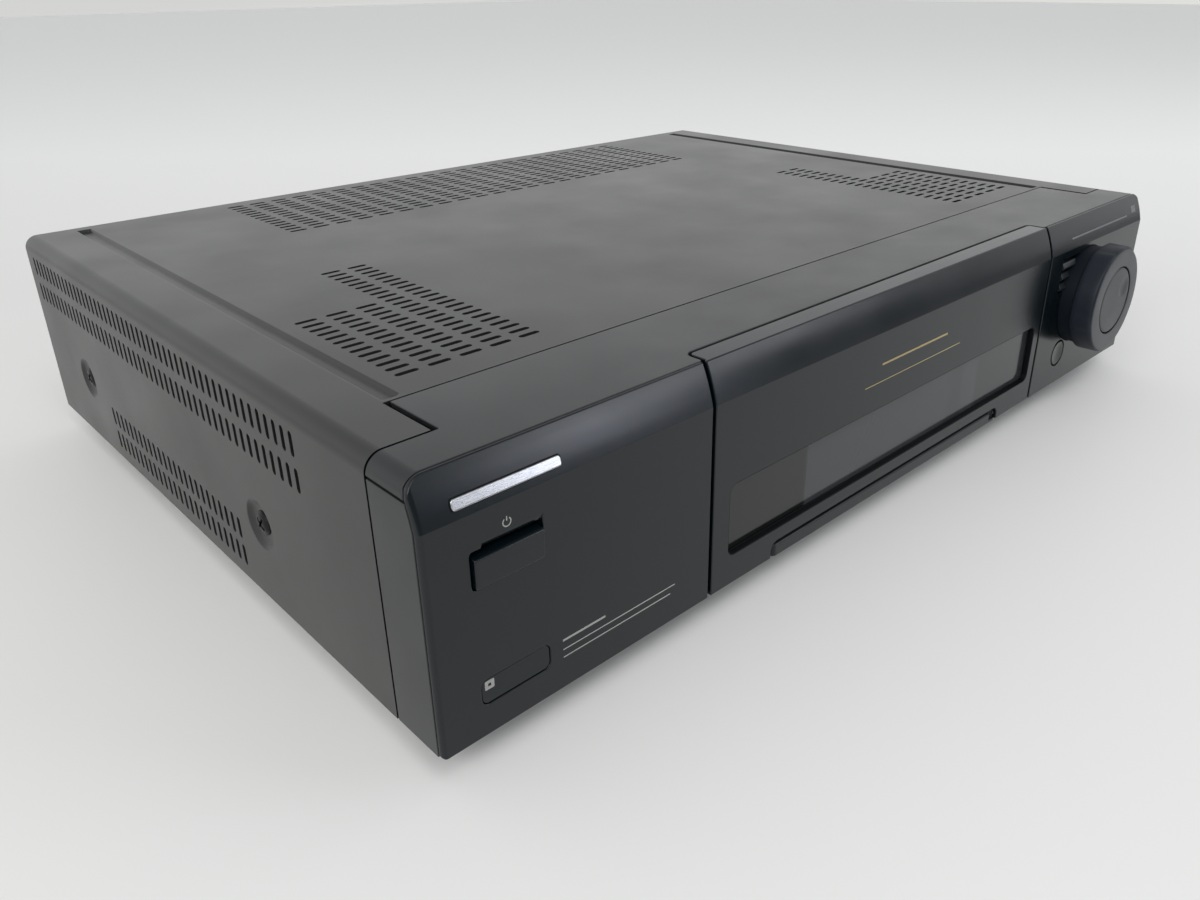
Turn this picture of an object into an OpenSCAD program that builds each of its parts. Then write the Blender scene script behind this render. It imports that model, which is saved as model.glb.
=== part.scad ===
// Front-loading video cassette recorder with a jog and shuttle dial, in millimetres.
// x runs across the front, y runs back from the face and z runs up from the panel's lower edge.
// placed() then sets the whole recorder on its feet, with the origin under its middle.

/* [Case] */
// Width of the case
body_w = 430; // [424:1:440]
// Depth from the front face to the back edge of the cover
body_d = 317; // [314:1:340]
// Height of the front panel and the cover
body_h = 81; // [80:0.5:88]
// Height of the feet under the case
foot_h = 11; // [6:0.5:16]
// Radius of a foot
foot_r = 14; // [10:0.5:17]
// Distance of a foot's middle from the side of the case
foot_inset = 30; // [22:1:40]
// Distance of the front feet from the face
foot_front_y = 36; // [32:1:60]
// Distance of the rear feet from the back edge
foot_rear_inset = 42; // [25:1:60]
// Sheet metal of the cover and the chassis
sheet_t = 1; // [0.8:0.1:1.2]
// Radius of the cover's long upper edges
cover_r = 5.5; // [4:0.5:7.5]

/* [Front] */
// Height of the upright part of the face, up to the bright band
face_h = 68; // [67:0.5:70]
// How far the band leans back over its height
band_setback = 4.6; // [4:0.1:5]
// Radius of the band's gentle curve
band_r = 40; // [30:1:60]
// Thickness of the two outer face plates
face_t = 2; // [1.6:0.1:2.4]
// Rounding of the upright edges of the face
face_edge_r = 1.8; // [1:0.1:2.5]
// Dark seam between two casing pieces
seam = 0.4; // [0.3:0.05:0.6]
// Depth at which the bezel's sides meet the metal cover
bezel_side_d = 22; // [20:0.5:28]
// Depth at which the bezel's top plate meets the metal cover
bezel_top_d = 45.4; // [42:0.5:50]
// Distance of the top plate's sides from the side of the case
bezel_top_inset = 21.6; // [20:0.1:25]
// Wall of the moulded bezel
bezel_t = 2; // [1.6:0.1:2.4]

/* [Door] */
// Width of the drop-down door
door_w = 223.5; // [222:0.5:226]
// Black gap at each side of the door
door_gap = 1.5; // [0.8:0.1:2]
// Thickness of the door's moulding
door_t = 2.4; // [2:0.1:2.6]
// Depth of the lip that folds over onto the top
lip_d = 12.5; // [11:0.5:14]
// How much narrower the lip is than the door, at each side
lip_inset = 0.75; // [0.5:0.25:9]
// Thickness of the lip
lip_t = 2; // [1.6:0.1:2.2]
// Moulding left at each side of the smoked window, when it stands in the middle
window_margin = 6.75; // [5.75:0.25:16]
// Height of the smoked window
window_h = 25.8; // [22:0.1:27]
// Height of the window's lower edge
window_z = 11.5; // [10.5:0.1:13]
// Sideways place of the window's middle
window_x = 1.5; // [-1.5:0.5:1.5]
// Depth of the recess in front of the smoked window
window_recess = 2.6; // [2:0.1:2.8]
// Thickness of the smoked window
window_t = 1.8; // [1.2:0.1:2]
// Width of the hinge bar under the door
hinge_bar_w = 160; // [140:1:164]
// Height of the hinge bar
hinge_bar_h = 5; // [4.6:0.1:5.1]
// Depth and height of the door's pivot line
hinge_at = 2.6; // [2.5:0.05:2.7]
// Radius of the hinge pins
hinge_pin_r = 1.2; // [1:0.05:1.3]

/* [Buttons] */
// Width of the power button
power_w = 22; // [18:0.2:23]
// Height of the power button
power_h = 9; // [7.6:0.1:9.4]
// Sideways place of the power button, from the side of the case
power_inset = 24.8; // [24:0.1:30]
// Height of the power button's middle
power_z = 51.4; // [48:0.1:53]
// Travel of the power button
power_travel = 2.5; // [1.5:0.1:3]
// Width of the infra-red window
ir_w = 22.8; // [18:0.1:24]
// Height of the infra-red window
ir_h = 7.8; // [6:0.1:9]
// Height of the infra-red window's middle
ir_z = 13.9; // [12:0.1:16]
// Height of a slim button
slim_h = 3.7; // [3:0.1:4]
// Spacing of the slim buttons
slim_pitch = 4.9; // [4.6:0.1:5.2]
// Height of the uppermost slim button's middle
slim_top_z = 60.6; // [59.5:0.1:61.5]
// Travel of the small buttons
small_travel = 1.2; // [0.8:0.1:1.4]
// Radius of the round button
round_r = 6; // [5:0.1:6.4]
// Height of the round button's middle
round_z = 16; // [14:0.1:16.6]
// Distance of the round button's middle from the dial's middle, along the front
round_offset = 15.3; // [14:0.1:17]

/* [Dial] */
// Distance of the dial's middle from the jamb beside the door
dial_offset = 40.25; // [38:0.25:44]
// Height of the dial's middle
dial_z = 42.6; // [40:0.1:44]
// Radius of the shuttle ring
shuttle_r = 25; // [23.5:0.1:25.4]
// How far the dial stands out of the face
dial_proud = 16; // [13:0.1:18]
// How far the fixed collar stands out of the face
collar_proud = 5.6; // [5:0.1:8]
// Radius of the jog disc
jog_r = 15.7; // [13:0.1:17]

/* [Vents] */
// Length of a vent slot
vent_l = 8; // [6:0.1:8.4]
// Width of a vent slot
vent_w = 2.1; // [1.4:0.1:2.4]
// Spacing of the slots, end to end
vent_pitch_l = 11.2; // [10:0.1:12]
// Spacing of the slots, side to side
vent_pitch_w = 5.16; // [4.8:0.02:5.3]

/* [Rear] */
// How far the aerial sockets stand out behind the cover
aerial_proud = 6; // [4:0.5:10]
// Width of a multi-pin socket
scart_w = 48; // [46:0.5:50]
// Height of a multi-pin socket
scart_h = 16; // [15:0.5:18]
// Width of the mains inlet
inlet_w = 24; // [22:0.5:28]

/* [Tape deck] */
// Height of the deck plate's underside
deck_z = 22; // [20:0.5:23]
// Width of a tape cassette with its clearance
bay_w = 190; // [188:0.5:190]
// Height of a tape cassette with its clearance
bay_h = 26; // [25.5:0.1:26.2]
// Travel of the cassette holder towards the drum
load_back = 58; // [40:1:60]
// Depth of the drum's middle behind the face
drum_y = 235; // [233:0.5:240]
// Radius of the head drum
drum_r = 31; // [28:0.1:31.5]
// Half of the distance between the reel tables
reel_x = 46; // [45:0.5:48]
// Depth of the reel tables behind the face
reel_y = 132; // [126:1:136]
// Radius of a reel table
reel_r = 22; // [19:0.1:23]
// Radius of the idler wheel
idler_r = 14; // [11:0.1:15]
// Radius of the capstan shaft
capstan_r = 1.5; // [1.2:0.1:2]
// Radius of the pinch roller
pinch_r = 6.5; // [5.5:0.1:7]

/* [Fits] */
// Gap between pieces that move past each other
move_gap = 0.5; // [0.4:0.05:0.6]
// Radial play of a shaft in its bore
run_gap = 0.05; // [0.03:0.01:0.08]

/* [Hidden] */

$fn = 64;
eps = 0.01;
side = body_w / 2;

// Front
band_h = body_h - face_h;
band_chord = sqrt(band_setback * band_setback + band_h * band_h);
band_reach = sqrt(band_r * band_r - band_chord * band_chord / 4);
band_centre = [
    band_setback / 2 + band_reach * band_h / band_chord,
    face_h + band_h / 2 - band_reach * band_setback / band_chord
];
face_top_d = band_setback + 0.9;
top_plate_d = face_top_d + seam;
plate_side = side - bezel_top_inset;
door_side = door_w / 2;
lip_w = door_w - 2 * lip_inset;
window_w = door_w - 2 * window_margin;
jamb_side = door_side + door_gap;
bay_wall_y = 11.8;
bay_wall_t = 2;
tongue_t = 1.2;
board_t = 1.6;

// Door
bar_side = hinge_bar_w / 2;
notch_top = hinge_bar_h + 1;
notch_r = 3.4;
notch_gap = 0.8;
window_gap = 0.15;

// Controls
power_x = -side + power_inset;
ir_x = power_x + 0.2;
scoop_h = 2.1;
scoop_d = 0.9;
power_headroom = 1.4;
switch_y = 15.2;
dial_x = jamb_side + dial_offset;
round_x = dial_x - round_offset;
slim_x0 = dial_x - shuttle_r - 2;
slim_x1 = dial_x - 6;
pocket_gap = 0.6;
slim_headroom = 1.9;
switch_gap = 0.7;
collar_r = shuttle_r - 1.8;
ring_front_y = -dial_proud;
ring_back_y = -collar_proud - move_gap;
hub_r = 8;
jog_shaft_r = 5;
encoder_y = 8.4;

// Cover
vent_row_y = 60;
vent_block_x = side - 36;
rear_vent_y = body_d - 77;
side_rows_z = [body_h - 11.3, body_h - 22.8];
low_rows_z = [19.8, 9.2];
side_pitch = vent_pitch_w - 0.06;
side_row_y = vent_row_y + 2.5;
low_row_y = side_row_y + 53.5;
side_slots = floor((body_d - 9 - side_row_y) / side_pitch);
screw_ys = [97.5, body_d - 52.5];
screw_z = 29;
dish_r = 9;
dish_d = 1.6;
dish_back = side - dish_d - sheet_t;
groove_x = side - 23.3;
groove_w = 5.6;
groove_d = 1.4;
foot_stud_r = 4;

// Rear
deck_side = 112;
main_x0 = deck_side + 4;
main_z = 7;
board_top = main_z + board_t;
rear_t = 2;
rear_y = body_d - rear_t - 0.4;
scart_x = 72;
low_scart_z = board_top + scart_h / 2 - 0.1;
scart_zs = [low_scart_z + 22, low_scart_z];
aerial_pitch = 24;
tuner_side = aerial_pitch / 2 + 12;
aerial_x = deck_side + tuner_side + 2;
aerial_z = 26;
phono_x = 14;
phono_pitch = 14;
inlet_x = -side + 34;
inlet_z = 24;
socket_d = 26;
sink_back = rear_y - 24.6;
sink_l = 60;
sink_front = sink_back - sink_l;
sink_top = body_h - 19;
transformer_d = 42;
transformer_w = 40;
transformer_front = sink_front - transformer_d - 8;
capacitor_r = 12.5;

// Deck, from the floor of the case up
deck_t = 1.5;
deck_top = deck_z + deck_t;
deck_front = 28;
deck_back = drum_y + 45;
bay_top = body_h - sheet_t - 5.6;
bay_floor = bay_top - bay_h;
holder_t = 1.2;
holder_side = bay_w / 2 + holder_t;
holder_front = 34;
holder_back = holder_front + 104;
holder_ledge = 76;
loaded_floor = 31;
load_drop = bay_floor - loaded_floor;
slider_in = holder_side + move_gap;
slider_out = slider_in + 1.4;
rail_in = slider_out + move_gap;
rail_out = rail_in + 1.2;
rail_back = 200;
rail_pin_r = 2.2;
rail_pin_z = bay_floor + 12;
rail_pin_ys = [66, 100];
holder_pin_y = 83;
holder_pin_r = 1.6;
holder_pin_z = bay_top - 5;
drum_spindle_r = 4;
drum_split = deck_top + 15;
drum_top = drum_split + 20;
rotor_r = 22;
capstan_at = [66, drum_y - 29];
capstan_top = 50;
bearing_r = 3.2;
flywheel_r = 25;
pinch_at = [63.8, drum_y - 45.1];
pinch_pivot = [88, drum_y - 35];
pinch_pin_r = 1.5;
pinch_arm_z = deck_top + 0.6;
guide_start = [30, drum_y - 49];
guide_lean = 0.2;
guide_run = 50;
guide_pin_r = 3;
idler_lean = 35;
idler_reach = reel_r + idler_r + 0.3;
idler_at = [reel_x - idler_reach * cos(idler_lean), reel_y - idler_reach * sin(idler_lean)];
cam_at = [-62, drum_y + 18];
cam_r = 20;
cam_z = 10;
cam_teeth = 40;
worm_r = 4;
worm_at = [cam_at[0] - cam_r - worm_r - 0.3, cam_at[1]];
worm_l = 26;
motor_r = 8.5;

// Whole recorder
front_y = (dial_proud - body_d - aerial_proud) / 2;

// ---------- shared shapes ----------

module placed() {
    translate([0, front_y, foot_h]) children();
}

// A block from its low to its high x, y and z
module block(x, y, z) {
    translate([x[0], y[0], z[0]]) cube([x[1] - x[0], y[1] - y[0], z[1] - z[0]]);
}

// A y-z outline carried along x
module along_x(x0, x1) {
    translate([x0, 0, 0]) rotate([90, 0, 90]) linear_extrude(x1 - x0) children();
}

// An x-z outline carried along y
module along_y(y0, y1) {
    translate([0, y1, 0]) rotate([90, 0, 0]) linear_extrude(y1 - y0) children();
}

module rod_y(at, r, y0, y1) {
    translate([at[0], y1, at[1]]) rotate([90, 0, 0]) cylinder(r = r, h = y1 - y0);
}

module rod_x(at, r, x0, x1) {
    translate([x0, at[0], at[1]]) rotate([0, 90, 0]) cylinder(r = r, h = x1 - x0);
}

module rod_z(at, r, z0, z1) {
    translate([at[0], at[1], z0]) cylinder(r = r, h = z1 - z0);
}

module both_sides() {
    children();
    mirror([1, 0, 0]) children();
}

// A rectangle with true round corners, from its low to its high corner
module round_rect(low, high, r) {
    translate([low[0] + r, low[1]]) square([high[0] - low[0] - 2 * r, high[1] - low[1]]);
    translate([low[0], low[1] + r]) square([high[0] - low[0], high[1] - low[1] - 2 * r]);
    for (x = [low[0] + r, high[0] - r], z = [low[1] + r, high[1] - r])
        translate([x, z]) circle(r);
}

// Front view of the case, with rounded upper corners, grown inwards by inset
module case_outline(inset, low_z) {
    r = cover_r - inset;
    half = side - inset;
    top = body_h - inset;
    translate([-half, low_z]) square([2 * half, top - r - low_z]);
    translate([-half + r, low_z]) square([2 * (half - r), top - low_z]);
    for (s = [-1, 1]) translate([s * (half - r), top - r]) circle(r);
}

module case_shell(y0, y1, t) {
    along_y(y0, y1) difference() {
        case_outline(0, 0);
        case_outline(t, -1);
    }
}

// Side view of everything behind the front surface, to the given depth
module front_section(depth, extra = 0) {
    square([depth, face_h + eps]);
    intersection() {
        translate([0, face_h]) square([depth, band_h + extra]);
        translate(band_centre) circle(band_r, $fn = 128);
    }
}

// Plan of the front, with rounded upright edges
module front_plan() {
    translate([-side, face_edge_r]) square([body_w, bezel_top_d]);
    translate([-side + face_edge_r, 0]) square([body_w - 2 * face_edge_r, bezel_top_d]);
    for (s = [-1, 1]) translate([s * (side - face_edge_r), face_edge_r]) circle(face_edge_r);
}

// A plate that follows the front surface from x0 to x1, from depth at to depth at + t
module front_plate(x0, x1, at, t, extra = 0) {
    difference() {
        along_x(x0, x1) translate([at, 0]) front_section(face_top_d + t, extra);
        along_x(x0 - 1, x1 + 1) {
            translate([at + t, 0]) front_section(bezel_top_d, 2 * extra);
            translate([at + t, -1]) square([bezel_top_d, 2]);
            translate([at + t + band_setback + 0.2, body_h - 1]) square([bezel_top_d, 4]);
            translate([at + face_top_d, face_h]) square([bezel_top_d, body_h]);
        }
    }
}

// One vent slot, lying along its first axis
module vent_slot() {
    square([vent_l - vent_w, vent_w], center = true);
    for (s = [-1, 1]) translate([s * (vent_l - vent_w) / 2, 0]) circle(vent_w / 2, $fn = 24);
}

// A plain spur gear
module gear(r, teeth, z0, z1) {
    tooth_h = 1.2;
    tooth_w = PI * r / teeth * 0.9;
    translate([0, 0, z0]) linear_extrude(z1 - z0) {
        circle(r - tooth_h);
        for (i = [0 : teeth - 1])
            rotate(i * 360 / teeth) translate([r - tooth_h - 0.5, -tooth_w / 2])
                square([tooth_h + 0.4, tooth_w]);
    }
}

// ---------- casing ----------

module top_vents() {
    for (s = [-1, 1], column = [0 : 4], row = [0 : column < 3 ? 12 : 21])
        translate([s * (vent_block_x - column * vent_pitch_l), vent_row_y + row * vent_pitch_w])
            vent_slot();
    for (column = [-11 : 11], row = [0 : 13])
        translate([column * vent_pitch_l, rear_vent_y + row * vent_pitch_w]) vent_slot();
}

module side_vents() {
    for (z = side_rows_z, i = [0 : side_slots])
        translate([side_row_y + i * side_pitch, z]) rotate(90) vent_slot();
    for (z = low_rows_z, i = [0 : 24])
        translate([low_row_y + i * side_pitch, z]) rotate(90) vent_slot();
}

module top_cover() {
    color("dimgray") placed() difference() {
        union() {
            case_shell(bezel_side_d + seam, body_d, sheet_t);
            both_sides() {
                block([groove_x - groove_w / 2 - sheet_t, groove_x + groove_w / 2 + sheet_t],
                    [bezel_top_d + 1, body_d - 5],
                    [body_h - groove_d - sheet_t, body_h - sheet_t / 2]);
                for (y = screw_ys)
                    rod_x([y, screw_z], dish_r + sheet_t, dish_back, side - sheet_t / 2);
            }
        }
        block([-plate_side - 2, plate_side + 2], [0, bezel_top_d + seam], [body_h - sheet_t - 1, body_h + 1]);
        translate([0, 0, body_h - 5]) linear_extrude(10) top_vents();
        along_x(-side - 1, -side + 5) side_vents();
        along_x(side - 5, side + 1) side_vents();
        both_sides() {
            block([groove_x - groove_w / 2, groove_x + groove_w / 2],
                [bezel_top_d + 2, body_d - 6],
                [body_h - groove_d, body_h + 1]);
            for (y = screw_ys) {
                translate([side - dish_d, y, screw_z]) rotate([0, 90, 0])
                    cylinder(r1 = dish_r - 2, r2 = dish_r, h = dish_d + eps);
                rod_x([y, screw_z], 2, dish_back - 1, side);
            }
        }
    }
}

// A screw along +x with its head's seat at x = 0, and a cross in the head
module cross_screw(head_r, head_h, shank_r, shank_l) {
    difference() {
        union() {
            rod_x([0, 0], head_r, 0, head_h);
            rod_x([0, 0], shank_r, -shank_l, eps);
        }
        block([head_h - 1, head_h + 1], [-head_r * 0.6, head_r * 0.6], [-0.5, 0.5]);
        block([head_h - 1, head_h + 1], [-0.5, 0.5], [-head_r * 0.6, head_r * 0.6]);
    }
}

module cover_screws() {
    color("black") placed() both_sides() for (y = screw_ys)
        translate([side - dish_d, y, screw_z]) cross_screw(4.2, 1.4, 1.9, 9);
}

// Openings for the controls in the face at the left, through both layers
module left_openings() {
    x0 = power_x - power_w / 2;
    x1 = power_x + power_w / 2;
    round_rect([x0 - 0.4, power_z - power_h / 2 - pocket_gap],
        [x1 + 0.4, power_z + power_h / 2 + power_headroom], 0.8);
}

// Openings for the controls in the face at the right, through both layers
module right_openings() {
    translate([dial_x, dial_z]) circle(collar_r - 4);
    translate([round_x, round_z]) circle(round_r + pocket_gap);
    slim_pocket();
}

// Outline of the recess that holds the slim buttons beside the dial
module slim_pocket() {
    difference() {
        translate([slim_x0 - pocket_gap, slim_top_z - 2 * slim_pitch - slim_h / 2 - pocket_gap])
            square([slim_x1 - slim_x0 + pocket_gap, 2 * slim_pitch + slim_h + pocket_gap + slim_headroom]);
        translate([dial_x, dial_z]) circle(collar_r);
    }
}

module left_face() {
    scoop_z = power_z + power_h / 2 + power_headroom;
    color("#30363a") placed() difference() {
        intersection() {
            front_plate(-side, -jamb_side, 0, face_t, 1);
            linear_extrude(body_h + 2) front_plan();
            along_y(-1, bezel_top_d) case_outline(0, 0);
        }
        along_y(-1, face_t + 1) left_openings();
        // scooped slope above the power button
        along_x(power_x - power_w / 2 + 3.2, power_x + power_w / 2 + 0.4)
            polygon([[-1, scoop_z + scoop_h * 2], [0, scoop_z + scoop_h], [scoop_d, scoop_z],
                [scoop_d, scoop_z - 1], [-1, scoop_z - 1]]);
        along_y(-1, face_t + 1) round_rect([ir_x - ir_w / 2 - window_gap, ir_z - ir_h / 2 - window_gap],
            [ir_x + ir_w / 2 + window_gap, ir_z + ir_h / 2 + window_gap], 2.2);
    }
}

module right_face() {
    color("#30363a") placed() difference() {
        intersection() {
            front_plate(jamb_side, side, 0, face_t, 1);
            linear_extrude(body_h + 2) front_plan();
            along_y(-1, bezel_top_d) case_outline(0, 0);
        }
        along_y(-1, face_t + 1) right_openings();
        rod_y([dial_x, dial_z], collar_r + window_gap, -1, face_t + 1);
    }
}

module bezel_frame() {
    top_y = lip_d + 1;
    color("#3a3f43") placed() difference() {
        union() {
            // side cheeks and rounded upper corners
            intersection() {
                case_shell(0, bezel_side_d, bezel_t);
                along_x(-side, side) translate([face_t + seam, 0]) front_section(bezel_top_d - 1);
            }
            // top plate
            block([-side + cover_r, side - cover_r], [top_plate_d, bezel_side_d], [body_h - bezel_t, body_h]);
            block([-plate_side, plate_side], [bezel_side_d - 1, bezel_top_d], [body_h - bezel_t, body_h]);
            // tongue that the cover rests on
            block([-plate_side + 7, plate_side - 7], [bezel_top_d - 3, bezel_top_d + 6],
                [body_h - sheet_t - tongue_t, body_h - sheet_t]);
            // carriers behind the two face plates
            both_sides() {
                intersection() {
                    front_plate(jamb_side, side - bezel_t + eps, face_t, bezel_t);
                    along_y(-1, bezel_top_d) case_outline(bezel_t / 2, 0);
                }
                // upright jambs beside the door and the floor of the bezel
                block([jamb_side, jamb_side + bezel_t], [face_t, bay_wall_y + bay_wall_t], [0, face_h]);
                block([jamb_side, side - bezel_t + eps], [face_t, bezel_side_d], [0, bezel_t]);
            }
            // wall behind the door
            block([-jamb_side - eps, jamb_side + eps], [bay_wall_y, bay_wall_y + bay_wall_t],
                [0, body_h - lip_t - 0.6]);
            block([-jamb_side, jamb_side], [top_y, top_y + bezel_t], [body_h - 8, body_h - eps]);
        }
        // notch for the lip of the door
        translate([0, 0, body_h - lip_t - 0.5]) linear_extrude(lip_t + 2)
            round_rect([-lip_w / 2 - 1, -20], [lip_w / 2 + 1, top_y], 3);
        block([-door_side - 0.8, door_side + 0.8], [-1, face_top_d + seam + 0.5], [body_h - 6, body_h + 1]);
        // mouth of the cassette bay and the display's opening
        block([-bay_w / 2 - 1, bay_w / 2 + 1], [bay_wall_y - 1, 30], [bay_floor - 1.5, bay_top]);
        block([-66, 62], [bay_wall_y - 1, 30], [14, 38]);
        along_y(face_t - 1, switch_y - 1) left_openings();
        along_y(face_t - 1, switch_y - 1) right_openings();
        rod_y([ir_x, ir_z], 3, face_t - 1, switch_y);
    }
}

module bottom_chassis() {
    tab_w = 16;
    color("silver") placed() difference() {
        union() {
            block([-side + sheet_t, side - sheet_t], [bezel_side_d + seam, rear_y], [0, sheet_t]);
            block([-deck_side, deck_side], [bay_wall_y + bay_wall_t, bezel_side_d + 1], [0, sheet_t]);
            both_sides() {
                block([dish_back - sheet_t, dish_back], [bezel_side_d + seam, rear_y], [0, 6]);
                for (y = screw_ys)
                    block([dish_back - sheet_t, dish_back], [y - tab_w / 2, y + tab_w / 2], [0, screw_z + 8]);
            }
        }
        both_sides() {
            for (y = [foot_front_y, body_d - foot_rear_inset])
                rod_z([side - foot_inset, y], foot_stud_r, -1, 3);
            for (y = screw_ys) rod_x([y, screw_z], 1.9, dish_back - 3, dish_back + 1);
            for (i = [0 : 5]) block([60, 100], [60 + i * 9, 63 + i * 9], [-1, 3]);
        }
    }
}

module rear_panel() {
    color("#26282a") placed() difference() {
        along_y(rear_y, rear_y + rear_t) case_outline(sheet_t, 0);
        for (z = scart_zs)
            block([scart_x - scart_w / 2, scart_x + scart_w / 2], [rear_y - 1, body_d],
                [z - scart_h / 2, z + scart_h / 2]);
        for (s = [-1, 1]) {
            rod_y([aerial_x + s * aerial_pitch / 2, aerial_z], 6.2, rear_y - 1, body_d);
            rod_y([phono_x, aerial_z + s * phono_pitch / 2], 5.2, rear_y - 1, body_d);
        }
        along_y(rear_y - 1, body_d) inlet_outline(0);
        for (i = [0 : 15], z = [54, 66])
            along_y(rear_y - 1, body_d) translate([-side + 30 + i * vent_pitch_w, z]) rotate(90) vent_slot();
        for (x = [-side + 14, -60, side - 14]) rod_y([x, body_h - 10], 1.6, rear_y - 1, body_d);
    }
}

module rear_screws() {
    color("black") placed() for (x = [-side + 14, -60, side - 14])
        translate([x, rear_y + rear_t, body_h - 10]) rotate(90) cross_screw(3.6, 1.6, 1.6, 7);
}

module foot(s, y) {
    at = [s * (side - foot_inset), y];
    color("#202224") placed() difference() {
        union() {
            translate([at[0], at[1], -foot_h]) cylinder(r1 = foot_r - 1, r2 = foot_r, h = foot_h);
            rod_z(at, foot_stud_r, -foot_h + 2, 4);
        }
        rod_z(at, 3.4, -foot_h - 1, -foot_h + 4);
    }
}

module foot_front_left() {
    foot(-1, foot_front_y);
}

module foot_front_right() {
    foot(1, foot_front_y);
}

module foot_rear_left() {
    foot(-1, body_d - foot_rear_inset);
}

module foot_rear_right() {
    foot(1, body_d - foot_rear_inset);
}

// ---------- door ----------

module window_outline(grow, r) {
    round_rect([window_x - window_w / 2 - grow, window_z - grow],
        [window_x + window_w / 2 + grow, window_z + window_h + grow], r);
}

module door_panel() {
    block_d = 2 * hinge_at;
    rim = 2;
    color("#30363a") placed() difference() {
        union() {
            difference() {
                along_x(-door_side, door_side) front_section(lip_d);
                along_x(-door_side - 1, door_side + 1) translate([door_t, -lip_t]) front_section(lip_d + 5);
                // the lip is narrower than the door and has round corners
                difference() {
                    block([-door_side - 1, door_side + 1], [face_top_d, lip_d + 1], [face_h, body_h + 1]);
                    translate([0, 0, face_h - 1]) linear_extrude(band_h + 3)
                        round_rect([-lip_w / 2, -20], [lip_w / 2, lip_d], 2);
                }
            }
            // rim that holds the window
            along_y(door_t - eps, window_recess + window_t) window_outline(rim, 3);
            // end blocks that carry the pivots
            both_sides() block([bar_side + 0.9, bar_side + 16], [0, block_d], [0, block_d]);
            // stiffening ribs down the sides
            both_sides() block([door_side - 2, door_side], [0.5, 6], [8, face_h]);
        }
        along_y(-1, 12) window_outline(window_gap, 3);
        along_y(-1, 12) round_rect([-bar_side - notch_gap, -6], [bar_side + notch_gap, notch_top], notch_r);
        for (s = [-1, 1])
            rod_x([hinge_at, hinge_at], hinge_pin_r + run_gap,
                s * (bar_side + 8) - 8, s * (bar_side + 8) + 8);
    }
}

module door_window() {
    color("#50565a") placed() along_y(window_recess, window_recess + window_t) window_outline(window_gap, 3);
}

module door_hinge_bar() {
    edge_r = 1.2;
    color("#34393d") placed() difference() {
        union() {
            intersection() {
                along_x(-bar_side, bar_side) {
                    square([hinge_at * 2, hinge_bar_h - edge_r]);
                    translate([edge_r, 0]) square([hinge_at * 2 - edge_r, hinge_bar_h]);
                    translate([edge_r, hinge_bar_h - edge_r]) circle(edge_r);
                }
                along_y(-1, hinge_at * 2 + 1)
                    round_rect([-bar_side, -6], [bar_side, hinge_bar_h], notch_r - notch_gap);
                linear_extrude(hinge_bar_h) round_rect([-bar_side, 0], [bar_side, 20], 2.2);
            }
            block([-bar_side, bar_side], [hinge_at * 2 - eps, bay_wall_y], [0, 3.4]);
        }
        rod_x([hinge_at, hinge_at], hinge_pin_r, -bar_side - 1, -bar_side + 10);
        rod_x([hinge_at, hinge_at], hinge_pin_r, bar_side - 10, bar_side + 1);
        // thumb recess at the right-hand end
        block([bar_side - 6, bar_side + 1], [-1, 0.8], [1.2, hinge_bar_h + 1]);
    }
}

module door_hinge_pins() {
    color("silver") placed() both_sides()
        rod_x([hinge_at, hinge_at], hinge_pin_r, bar_side - 10, bar_side + 14);
}

// ---------- controls ----------

module power_button() {
    x0 = power_x - power_w / 2;
    x1 = power_x + power_w / 2;
    z0 = power_z - power_h / 2;
    z1 = power_z + power_h / 2;
    edge_r = 0.8;
    color("#2c3236") placed() {
        intersection() {
            along_y(-1.4, face_t + bezel_t + 2) round_rect([x0, z0], [x1, z1], 0.8);
            along_x(x0 - 1, x1 + 1) round_rect([-1.4, z0 - eps], [20, z1 + eps], edge_r);
        }
        block([x0 + 4, x0 + 8], [face_t + bezel_t + 1, switch_y - power_travel - switch_gap],
            [z0 + 3, z1 - 3]);
    }
}

module ir_window() {
    color("#3c4449") placed()
        along_y(0.3, face_t)
            round_rect([ir_x - ir_w / 2, ir_z - ir_h / 2], [ir_x + ir_w / 2, ir_z + ir_h / 2], 2);
}

// A slim button with a sloped front, cut round the dial's collar
module slim_button(n) {
    z0 = slim_top_z - n * slim_pitch - slim_h / 2;
    color("#59616a") placed() {
        difference() {
            along_x(slim_x0, slim_x1)
                polygon([[-0.9, z0 + slim_h * 0.45], [0.6, z0 + slim_h], [7, z0 + slim_h],
                    [7, z0], [0.8, z0]]);
            rod_y([dial_x, dial_z], collar_r + pocket_gap, -3, 8);
        }
        block([slim_x0 + 0.5, slim_x0 + 1.5], [6.9, switch_y - small_travel - switch_gap],
            [z0 + 0.6, z0 + slim_h - 0.6]);
    }
}

module upper_slim_button() {
    slim_button(0);
}

module middle_slim_button() {
    slim_button(1);
}

module lower_slim_button() {
    slim_button(2);
}

module round_button() {
    at = [round_x, round_z];
    color("#333a3f") placed() difference() {
        union() {
            rod_y(at, round_r, 0, 7);
            rod_y(at, 2, 6.9, switch_y - small_travel - switch_gap);
        }
        translate([at[0], -20 + 0.5, at[1]]) sphere(r = 20);
    }
}

module dial_collar() {
    at = [dial_x, dial_z];
    color("#17191b") placed() difference() {
        union() {
            rod_y(at, collar_r, -collar_proud, face_t);
            rod_y(at, collar_r - 4.2, face_t - eps, 6);
        }
        rod_y(at, hub_r + run_gap, -collar_proud - 1, 7);
        rod_y(at, collar_r - 2.5, -collar_proud - 1, -collar_proud + 1.2);
    }
}

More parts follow.
